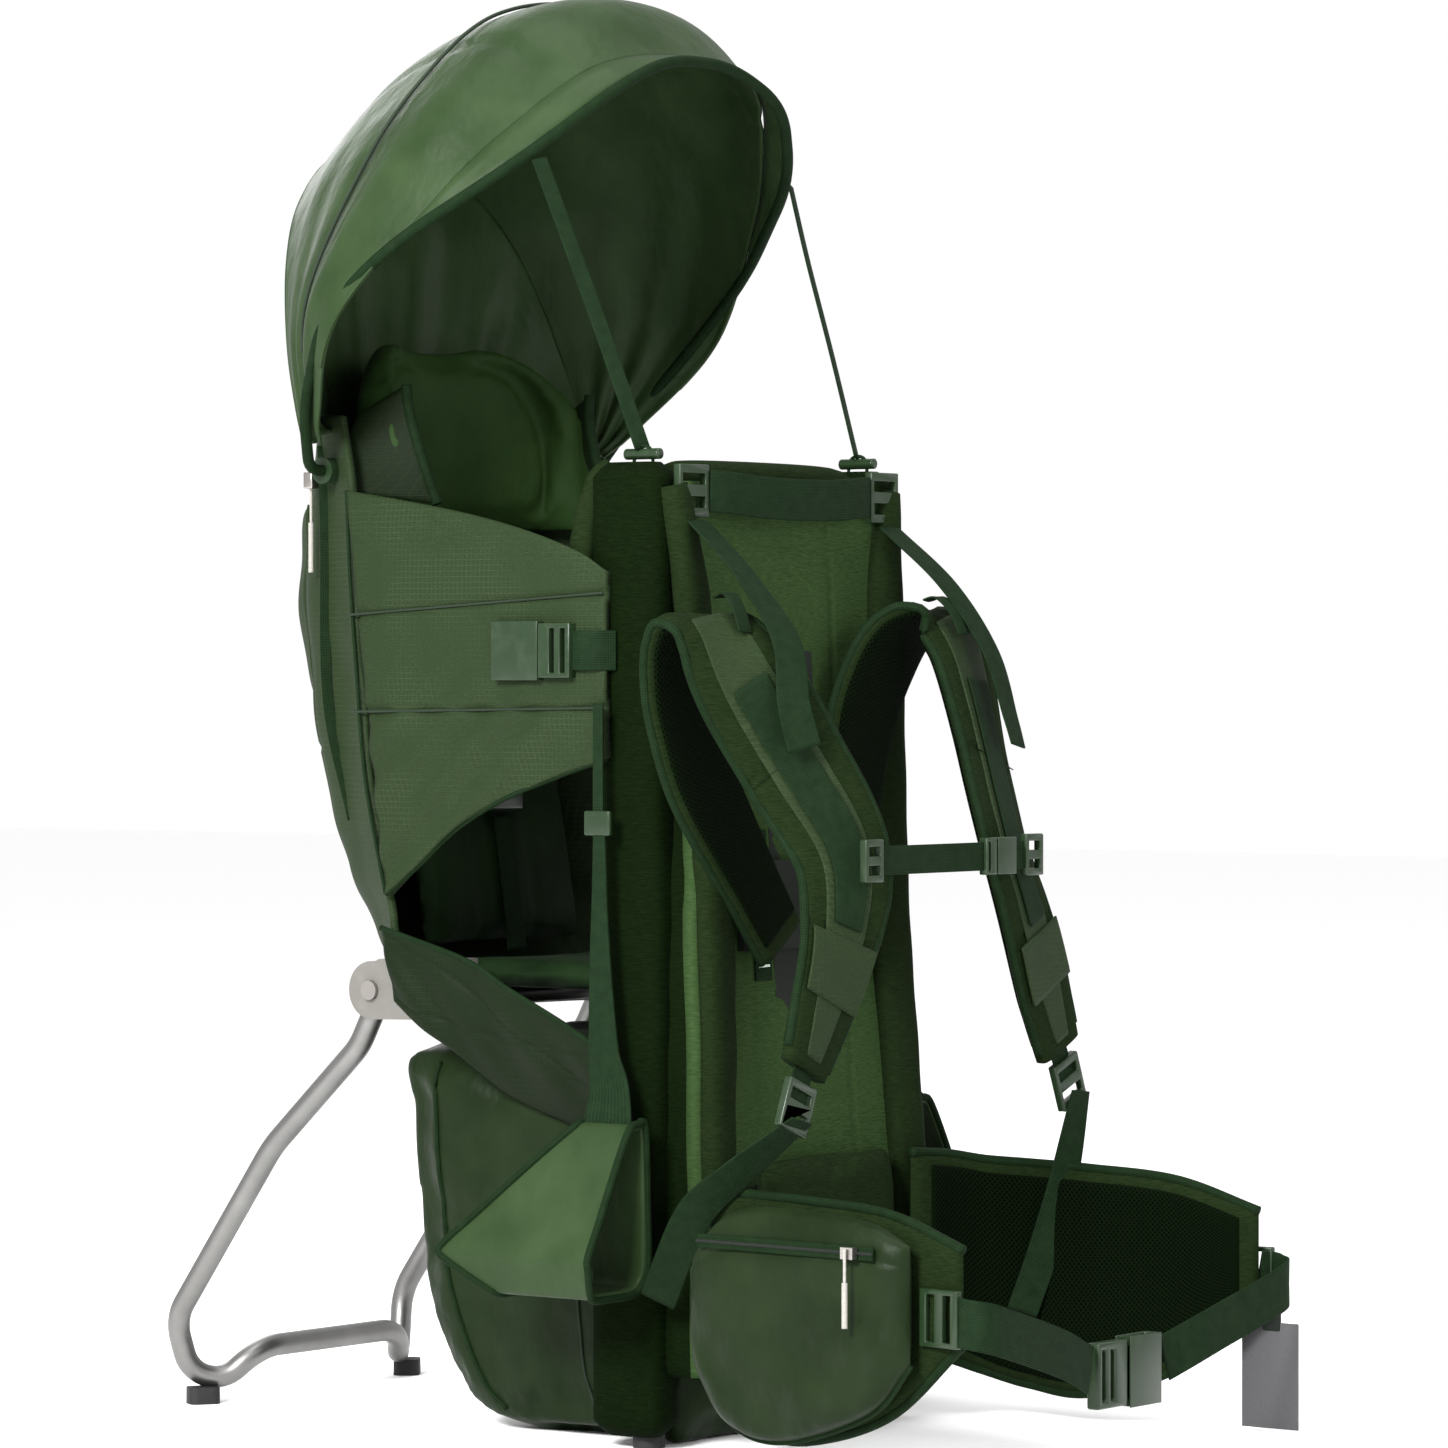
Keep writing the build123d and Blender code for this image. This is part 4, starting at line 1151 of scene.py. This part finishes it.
both_sides(cockpit_web, "{}_cockpit_webbing", WEB, "cockpit_webbing")

HANDLE_HALF = [(-110, -100, 768), (-92, -106, 767), (-50, -110, 764)]
handle_line = HANDLE_HALF + [(0, -111, 763)] + mirror_points(HANDLE_HALF[::-1])
dress(webbing("haul_handle_webbing", handle_line, (0, 0, 1), 34, 2.2), WEB, "frame", "haul_handle")

# --- Shoulder harness --------------------------------------------------------------------------

LEFT_STRAP = [(40, -126, 405), (46, -124, 470), (62, -121, 556), (86, -121, 612), (112, -129, 650),
              (128, -147, 668), (136, -164, 655), (138, -176, 625), (128, -202, 555), (114, -232, 485),
              (132, -244, 415), (160, -244, 350), (178, -243, 312)]
LEFT_ACROSS = [(1, 0, 0)] * 7 + [(1, turn, 0) for turn in (0.12, 0.25, 0.25, 0.15, 0.05, 0)]
RIGHT_STRAP = [(-50, -126, 405), (-96, -124, 465), (-150, -121, 540), (-176, -122, 600), (-186, -130, 640),
               (-190, -147, 662), (-188, -166, 652), (-178, -184, 618), (-140, -206, 550), (-113, -232, 480),
               (-132, -244, 415), (-160, -244, 350), (-178, -243, 312)]
RIGHT_ACROSS = [(1, 0, 0)] * 4 + [(1, -0.05, 0), (1, -0.15, 0), (0.95, -0.3, 0), (0.85, -0.5, 0),
                                  (0.82, -0.57, 0), (0.9, -0.42, 0), (1, -0.15, 0), (1, -0.05, 0), (1, 0, 0)]
STRAPS = (("right", RIGHT_STRAP, RIGHT_ACROSS), ("left", LEFT_STRAP, LEFT_ACROSS))
STRAP_WIDTH = [58, 64, 74, 82, 84, 84, 84, 84, 84, 84, 80, 70, 54]
STRAP_STEPS = 150


def on_both_straps(make, name, material, replace=False):
    """The same piece on each shoulder strap; make takes the strap's route and its width directions."""
    made = []
    for side, route, across in STRAPS:
        obj = make(route, across)
        obj.name = name.format(side)
        made.append(dress(obj, material, "harness", *([f"{side}_shoulder_strap"] if replace else [])))
    return made


def strap_core(route, across):
    """The foam core, slightly pinched at the quilted cross seams."""
    def pinch(t, x):
        seams = sum(groove(t, at, 0.006) for at in (0.44, 0.62, 0.84))
        return 1 - 0.35 * seams + 0.04 * np.sin(t * 90)

    return band("core", route, across, STRAP_WIDTH, 14, STRAP_STEPS, 0.5, 30, pinch)


def strap_piece(less, thick, lift, part=(0, 1), squareness=0.3):
    """A layer of the strap, narrower than it by less, at a height over its middle."""
    widths = [w - less for w in STRAP_WIDTH]
    return lambda route, across: band("layer", route, across, widths, thick, STRAP_STEPS, squareness, 22,
                                      lift=lift, part=part)


def strap_rail(sign, lift, radius):
    shifts = [sign * (w / 2 - 0.5) for w in STRAP_WIDTH]
    return lambda route, across: rail("rail", route, across, shifts, lift, radius, STRAP_STEPS)


for piece in on_both_straps(strap_core, "{}_shoulder_strap_core", HEATHER, replace=True):
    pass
on_both_straps(strap_piece(38, 2.6, 7.0, (0.44, 0.99)), "{}_shoulder_strap_centre", RIPSTOP)
on_both_straps(strap_piece(10, 5.0, -6.4, (0.02, 0.98)), "{}_shoulder_strap_mesh", MESH)
on_both_straps(strap_rail(1, 1.0, 3.8), "{}_shoulder_strap_inner_binding", BINDING)
on_both_straps(strap_rail(-1, 1.0, 3.8), "{}_shoulder_strap_outer_binding", BINDING)
on_both_straps(strap_piece(52, 1.8, 10.4, (0.52, 0.835), 0.22), "{}_shoulder_strap_webbing", WEB)
on_both_straps(strap_piece(6, 2.2, 9.0, (0.84, 0.92), 0.25), "{}_shoulder_strap_patch", RIPSTOP)
on_both_straps(strap_piece(0, 1.5, 8.0, (0.618, 0.626), 0.3), "{}_shoulder_strap_cross_seam", STITCH)


for side, sign, shift in (("right", -1, -46), ("left", 1, 0)):
    tab = [(sign * 118 + shift, -152, 682), (sign * 122 + shift, -164, 684), (sign * 126 + shift, -176, 672),
           (sign * 128 + shift, -184, 654)]
    dress(webbing(f"{side}_shoulder_strap_tab", tab, (1, 0, 0), 16, 1.8), WEB, "harness")

LEFT_LIFTER = [(131, -104, 744), (140, -158, 696), (147, -197, 640), (143, -220, 585), (141, -229, 562)]
LEFT_LIFTER_ACROSS = [(1, 0, 0), (1, 0, 0), (1, 0.1, 0), (1, 0.2, 0), (1, 0.25, 0)]
RIGHT_LIFTER = [(-131, -104, 744), (-140, -158, 700), (-150, -206, 648), (-160, -221, 598), (-152, -226, 562)]
RIGHT_LIFTER_ACROSS = [(1, 0, 0), (1, 0, 0), (0.95, -0.3, 0), (0.85, -0.5, 0), (0.82, -0.57, 0)]


def joining_web(name, route, across, width, frame_end, harness_end, *nodes):
    """Webbing laid between the frame and the sliding harness, baked in place on no body."""
    obj = webbing(name, route, across, width, 1.8)
    dress(obj, WEB, None, *nodes)
    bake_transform(obj)


joining_web("right_load_lifter", RIGHT_LIFTER, RIGHT_LIFTER_ACROSS, 28, 0, -1, "harness_webbing")
joining_web("left_load_lifter", LEFT_LIFTER, LEFT_LIFTER_ACROSS, 28, 0, -1)
RIGHT_LOWER_WEB = [(-194, -254, 274), (-208, -200, 230), (-206, -156, 194), (-186, -106, 124)]
RIGHT_LOWER_ACROSS = [(1, -0.2, 0), (0.7, -0.4, -0.3), (0.45, -0.5, -0.5), (0.4, -0.55, -0.5)]
LEFT_LOWER_WEB = [(198, -253, 276), (190, -242, 205), (181, -228, 145), (172, -212, 92)]
LEFT_LOWER_ACROSS = [(1, 0, 0), (0.8, -0.5, 0), (0.6, -0.8, 0), (0.6, -0.8, 0)]
joining_web("right_lower_webbing", RIGHT_LOWER_WEB, RIGHT_LOWER_ACROSS, 30, -1, 0)
joining_web("left_lower_webbing", LEFT_LOWER_WEB, LEFT_LOWER_ACROSS, 26, -1, 0)

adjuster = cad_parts["lower_adjusters"]
adjuster_points = np.array([adjuster.matrix_world @ v.co for v in adjuster.data.vertices]) * 1000
for side, route, across in STRAPS:
    end = np.array(route[-1], float)
    adjuster_middle = adjuster_points[adjuster_points[:, 0] * end[0] > 0].mean(axis=0)
    tab = [end, (end + adjuster_middle) / 2, adjuster_middle]
    dress(webbing(f"{side}_adjuster_tab", tab, across[-1], 24, 1.8), WEB, "harness")

# --- Sternum strap -----------------------------------------------------------------------------

STERNUM_Y, STERNUM_Z = -262, 474
for name, x in (("right", (-100, -60, -20, 42)), ("left", (84, 90, 95, 100))):
    line = [(v, STERNUM_Y, STERNUM_Z) for v in x]
    dress(webbing(f"{name}_sternum_webbing", line, (0, 0, 1), 23, 1.7), WEB, "sternum_strap",
          *(["sternum_webbing"] if name == "right" else []))

# --- Hip belt ----------------------------------------------------------------------------------

WING_LINE = [(104, -147), (150, -152), (181, -168), (193, -205), (197, -262), (203, -345), (211, -418)]
WING_LOW = [64, 52, 40, 30, 26, 52, 112]
WING_HIGH = [226, 222, 216, 214, 212, 206, 184]


def upright_surface(line, low, high, offset, rows, cols):
    """A curved upright surface beside a plan line, at an offset in millimetres from it."""
    plan = spline([(x, y, a, b) for (x, y), a, b in zip(line, low, high)], cols)
    ahead = np.gradient(plan[:, :2], axis=0)
    ahead /= np.linalg.norm(ahead, axis=1)[:, None]
    x = plan[:, 0] - ahead[:, 1] * offset
    y = plan[:, 1] + ahead[:, 0] * offset
    share = np.linspace(0, 1, rows)[:, None]
    z = plan[:, 3] * (1 - share) + plan[:, 2] * share
    return np.stack([np.broadcast_to(x, z.shape), np.broadcast_to(y, z.shape), z], axis=-1)


def wing_side(points):
    surface = np.array(points)
    surface[..., 0] *= -1
    return surface[:, ::-1]


def hip_wing():
    surface = wing_side(upright_surface(WING_LINE, WING_LOW, WING_HIGH, 0, 44, 90))
    return cushion("wing", surface, 18, edge=9,
                   relief=lambda u, v: -1.4 * groove(v, 0.5, 0.015) + 0.5 * np.sin(u * 50 + 4 * v))


def wing_mesh():
    low, high = np.array(WING_LOW) + 10, np.array(WING_HIGH) - 10
    surface = wing_side(upright_surface(WING_LINE, low, high, -8.4, 40, 80))
    return cushion("wing", surface[:, 4:-4], 4, edge=14)


LUMBAR_TOP, LUMBAR_FOOT = 232, 80
top_y, foot_y = panel_face(LUMBAR_TOP), panel_face(LUMBAR_FOOT)
lumbar_top = line_across(102, top_y - 10, LUMBAR_TOP, top_y - 12, LUMBAR_TOP + 4)
lumbar_foot = line_across(102, foot_y - 12, LUMBAR_FOOT, foot_y - 12, LUMBAR_FOOT - 2)
lumbar = cushion("lumbar_pad_cushion", surface_between(lumbar_top, lumbar_foot, 50, 60), 22,
                 relief=sewn(2.2, upright=((0.3, 0.015), (0.7, 0.015)), level=((0.5, 0.02),)))
puff(lumbar, pressure=3, cap=5)
dress(lumbar, HEATHER, "frame", "hip_belt_pads")
for piece in both_sides(hip_wing, "{}_hip_wing", HEATHER):
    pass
both_sides(wing_mesh, "{}_hip_wing_mesh", MESH)
for label, heights in (("top", WING_HIGH), ("foot", WING_LOW)):
    wing_edge = [(-x, y, z) for (x, y), z in zip(WING_LINE, heights)]
    both_lines(wing_edge, 4.2, "{}_hip_wing_" + label + "_binding", BINDING, 90)

POCKET_LINE = [(190, -166), (193, -205), (197, -262), (203, -345), (206, -384)]
POCKET_LOW = [84, 36, 28, 56, 96]
POCKET_HIGH = [166, 202, 208, 202, 186]
ZIP_Z = 180


def hip_pocket():
    surface = wing_side(upright_surface(POCKET_LINE, POCKET_LOW, POCKET_HIGH, 24, 50, 80))
    return cushion("pocket", surface, 34, edge=5, back_share=0.7,
                   relief=lambda u, v: -2.4 * groove(v, 0.17, 0.02)
                   + 2.0 * np.sin(u * 15 + v * 9 + 1.2 * np.sin(v * 8)) * np.clip(v - 0.2, 0, 1)
                   + 0.7 * np.sin(u * 41 - v * 13) * v)


def pocket_line(z, out):
    """A level line on the right pocket's face, from a tenth to nine tenths of its length."""
    surface = upright_surface(POCKET_LINE, [z] * 5, [z] * 5, out, 2, 60)[0]
    return mirror_points([surface[int(k)] for k in np.linspace(0.1 * 59, 0.9 * 59, 7)])


def pocket_zip():
    return band("zip", pocket_line(ZIP_Z, 41.2), (0, 0, 1), 11, 2.2, 60, 0.3, 16)


for piece in both_sides(hip_pocket, "{}_hip_pocket_pouch", BAG_NYLON, "hip_pockets"):
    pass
both_sides(pocket_zip, "{}_hip_pocket_zip", BINDING)
both_lines(pocket_line(ZIP_Z, 42.4), 1.3, "{}_hip_pocket_teeth", BLACK_PLASTIC)
pocket_foot = upright_surface(POCKET_LINE, POCKET_LOW, POCKET_HIGH, 22, 2, 40)[1]
both_lines([(-x, y, z - 1) for x, y, z in pocket_foot], 2.2, "{}_hip_pocket_piping", BINDING)

BELT_ROUTE = [(214, -416, 133), (225, -428, 130), (205, -446, 124), (110, -440, 98), (53, -429, 79)]
both_sides(lambda: webbing("belt", mirror_points(BELT_ROUTE), (0, 0, 1), 38, 1.9, 90), "{}_belt_webbing", WEB,
           "belt_webbing")

# --- Canopy ------------------------------------------------------------------------------------

PIVOT_Y, PIVOT_Z = 257, 790
ROOF_ARCHES = [
    (36.5, [(190, 24), (214, 55), (256, 149), (216, 268), (174, 338), (106, 406), (0, 424)]),
    (27, [(190, 24), (213, 55), (252, 150), (216, 275), (175, 352), (105, 418), (0, 439)]),
    (18, [(190, 24), (208, 55), (240, 145), (208, 262), (165, 335), (100, 393), (0, 412)]),
    (5, [(190, 24), (201, 55), (216, 130), (190, 230), (150, 290), (90, 340), (0, 356)]),
    (-15, [(190, 24), (190, 55), (184, 110), (164, 180), (132, 235), (75, 280), (0, 294)]),
]
HOOP_HALF = [(-161, 257, 790), (-187, 257, 790), (-216, 238, 838), (-252, 186, 914), (-240, 124, 968),
             (-176, 30, 1042), (-112, -10, 1098), (-42, -9, 1126)]


def on_arch(angle, x, r):
    return (x, PIVOT_Y - r * sin(radians(angle)), PIVOT_Z + r * cos(radians(angle)))


def arch_line(angle, half, count):
    return spline([on_arch(angle, x, r) for x, r in full_line(half)], count)


def roof_grid(rows, cols):
    lines = np.array([arch_line(angle, half, cols) for angle, half in ROOF_ARCHES])
    return np.stack([spline(lines[:, j], rows) for j in range(cols)], axis=1)


def canopy_roof():
    """One sheet over the hoop, taut over the crest and folded towards the pivots."""
    rows, cols = 90, 150
    grid = roof_grid(rows, cols)
    down, over = np.gradient(grid, axis=0), np.gradient(grid, axis=1)
    normal = np.cross(over, down)
    normal /= np.maximum(np.linalg.norm(normal, axis=2), 1e-6)[..., None]
    u, v = np.meshgrid(np.linspace(0, 1, cols), np.linspace(0, 1, rows))
    low = np.clip(1 - np.minimum(u, 1 - u) / 0.34, 0, 1)
    fade = np.sin(pi * np.clip(v * 1.05, 0, 1))
    folds = np.sin(v * 24 + 9 * np.minimum(u, 1 - u)) * 3.2 * low ** 0.8 * fade
    broad = 2.6 * np.sin(v * 8 + u * 5) * np.sin(pi * u) * np.sin(pi * v)
    seams = 1.6 * (groove(u, 0.36, 0.006) + groove(u, 0.64, 0.006))
    inward = 2 + 1.5 * seams
    sign = np.sign((normal * (grid - np.array([0, 150, 850]))).sum(-1))[..., None]
    grid = grid + normal * sign * (folds + broad - inward)[..., None]
    return thicken(grid_object("canopy_roof_sheet", grid * 0.001), 2.4)


roof = canopy_roof()
dress(roof, NYLON, "canopy", "canopy_roof")

roof_lines = roof_grid(90, 150)
dress(tube("canopy_crest_seam", roof_lines[34, 12:-12:4], 1.6, 160, up=(0, 1, 0.3)), STITCH, "canopy")

def even_hoop():
    """Points spaced evenly along the hoop's line, with its corners as arcs."""
    path = np.array(fillet_line(HOOP_HALF + mirror_points(HOOP_HALF[::-1])))
    length = np.concatenate([[0], np.cumsum(np.linalg.norm(np.diff(path, axis=0), axis=1))])
    at = np.linspace(3, length[-1] - 3, 160)
    return np.stack([np.interp(at, length, path[:, k]) for k in range(3)], 1)


hoop_even = even_hoop()
dress(tube("canopy_rim_binding", hoop_even, 4.8, 240, up=(0, 1, 0.3)), BINDING, "canopy")

FACING_FOOT = 880


def rim_facing():
    """The strip of fabric between the roof's front edge and the hoop's binding."""
    roof_edge = spline(roof_lines[0, ::3], 900)
    outer = hoop_even[hoop_even[:, 2] > FACING_FOOT]
    inner = roof_edge[np.linalg.norm(roof_edge[None] - outer[:, None], axis=2).argmin(axis=1)]
    strip = np.stack([inner * (1 - t) + outer * t for t in (0, 0.33, 0.67, 1)])
    return thicken(grid_object("canopy_rim_facing", strip * 0.001), 1.8)


dress(rim_facing(), NYLON, "canopy")

SHELL_TOP = [(158, 262), (122, 304), (65, 332), (0, 341)]


def canopy_curtain():
    """The gathered rear of the canopy, from the roof's last arch down to the shell's top."""
    cols, rows = 110, 40
    foot = spline([(x, y - 4, 824) for x, y in full_line(SHELL_TOP)], cols)
    top = arch_line(-15, ROOF_ARCHES[-1][1], cols)
    share = np.linspace(0, 1, rows)[:, None, None]
    grid = top[None] * (1 - share) + foot[None] * share
    u = np.linspace(0, 1, cols)
    bulge = np.sin(pi * share[..., 0]) * (3.5 * np.sin(u * 46) + 2.0 * np.sin(u * 87 + 1)) * np.sin(pi * u)
    grid[..., 1] += bulge - 2
    return thicken(grid_object("canopy_curtain_sheet", grid * 0.001), 2.0)


curtain = canopy_curtain()
dress(curtain, NYLON, None, "canopy_curtain")
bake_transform(curtain)

CANOPY_STRAP = [(171, 26, 1037), (163, 2, 972), (155, -30, 888), (147, -61, 802)]
TOGGLE = [(147, -79, 797.5), (147, -62, 797.5), (147, -45, 797.5)]
TOGGLE_LOOP = [(146, -70, 766), (147, -71, 797), (147, -62, 804), (147, -53, 797), (146, -54, 766)]
for side, sign in (("right", -1), ("left", 1)):
    line, toggle, loop = [[(sign * x, y, z) for x, y, z in route]
                          for route in (CANOPY_STRAP, TOGGLE, TOGGLE_LOOP)]
    strap_web = webbing(f"{side}_canopy_strap_webbing", line, (0.9 * sign, 0.4, 0), 14, 1.8)
    dress(strap_web, WEB, "canopy_straps", *(["canopy_straps"] if sign < 0 else []))
    dress(tube(f"{side}_strap_toggle", toggle, 4.4, 24), GREEN_PLASTIC, "canopy_straps")
    dress(tube(f"{side}_toggle_loop", loop, 1.5, 40), WEB, "frame")

# --- Stirrups ----------------------------------------------------------------------------------

STEP_RING = [(-187, 262), (-196, 264), (-206, 261), (-222, 236), (-247, 190), (-262, 163), (-262, 154),
             (-253, 132), (-246, 128), (-220, 128), (-200, 129), (-190, 134), (-185, 150), (-185, 206)]


REAR_MOUTH = ([126, 160, 210, 262], [2, 58, 12, -40])
FRONT_MOUTH = ([126, 150, 262], [-90, -96, -94])


def step_depth(z, rear):
    """Y of the step's front or rear mouth at a height: narrow at the neck, deepest near the foot."""
    heights, places = REAR_MOUTH if rear else FRONT_MOUTH
    return np.interp(z, heights, places)


def stirrup_step():
    """The stiffened foot loop: a faceted ring of fabric, deepest at the foot and open to front and rear."""
    ring = spline([(x, z, 0) for x, z in STEP_RING], 90, closed=True)[:-1, :2]
    front, rear = step_depth(ring[:, 1], False), step_depth(ring[:, 1], True)
    rows = [np.column_stack([ring[:, 0], front + (rear - front) * share, ring[:, 1]])
            for share in np.linspace(0, 1, 34)]
    return thicken(grid_object("step", np.array(rows) * 0.001, wrap=True), 5, offset=1)


def mouth_rim(rear):
    ring = [(x, float(step_depth(z, rear)), z) for x, z in STEP_RING]
    return tube("rim", ring, 3.2, 90, closed=True, up=(0, 1, 0))


STIRRUP_WEB = [(-186.8, -47, 598), (-186.8, -47, 500), (-187, -47, 400), (-187, -50, 330)]
NECK_ROUTE = [(-187.6, -49, 500), (-188, -50, 400), (-188.5, -54, 322), (-192, -62, 290), (-200, -66, 258)]
NECK_WIDTH = [11, 15, 22, 30, 50]
both_sides(stirrup_step, "{}_stirrup_step", NYLON, "{}_stirrup", body="{}_stirrup")
for name, make, material in (
        ("front_rim", lambda: mouth_rim(False), BINDING), ("rear_rim", lambda: mouth_rim(True), BINDING),
        ("webbing", lambda: webbing("web", STIRRUP_WEB, (0, 1, 0), 10, 1.7, 60), WEB),
        ("neck", lambda: band("neck", NECK_ROUTE, (0, 1, 0), NECK_WIDTH, 3.0, 60, 0.25, 18), WEB),
        ("slider", lambda: box_mesh("slider", (-189.4, -60, 492), (-184.4, -34, 512), 1.6), GREEN_PLASTIC)):
    both_sides(make, "{}_stirrup_" + name, material, body="{}_stirrup")

# --- Zip pulls and hang tag --------------------------------------------------------------------


def zip_pull(name, node):
    """A zip pull: a folded cord, and a thicker grip of the same cord round its lower half."""
    low, high = [np.array(c) * 1000 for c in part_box(node)]
    x, y = (low[:2] + high[:2]) / 2
    top, foot = np.array([x, y, high[2]]), np.array([x, y, low[2]])
    middle = top + (foot - top) * 0.42
    cord = [top, top + (middle - top) * 0.5, middle + (foot - middle) * 0.2]
    grip = [middle, middle + (foot - middle) * 0.5, foot]
    dress(tube(f"{name}_cord", cord, 1.25, 24, up=(1, 0, 0)), CORD, node, node)
    dress(tube(f"{name}_grip", grip, 2.3, 24, up=(1, 0, 0)), CORD, node)


zip_pull("right_pocket_pull", "right_zip_pull")
zip_pull("left_pocket_pull", "left_zip_pull")
zip_pull("rear_pull", "rear_zip_pull")
dress(box_mesh("rear_zip_slider", (-156, 281, 776), (-146, 291, 790), 1.5), STEEL, "frame")

dress(box_mesh("hang_tag_card", (236.2, -440, 4), (237.8, -386, 91), 0.5), CARD, "hang_tag", "hang_tag")
dress(box_mesh("hang_tag_clip", (234.6, -423, 84), (239, -406, 134), 1.8), BLACK_PLASTIC, "hang_tag")
TAG_LOOP = [(236, -414, 146), (237.5, -415.5, 116), (237.2, -414.5, 86)]
dress(tube("hang_tag_loop", TAG_LOOP, 1.1, 40, up=(1, 0, 0)), BLACK_PLASTIC, "hang_tag")
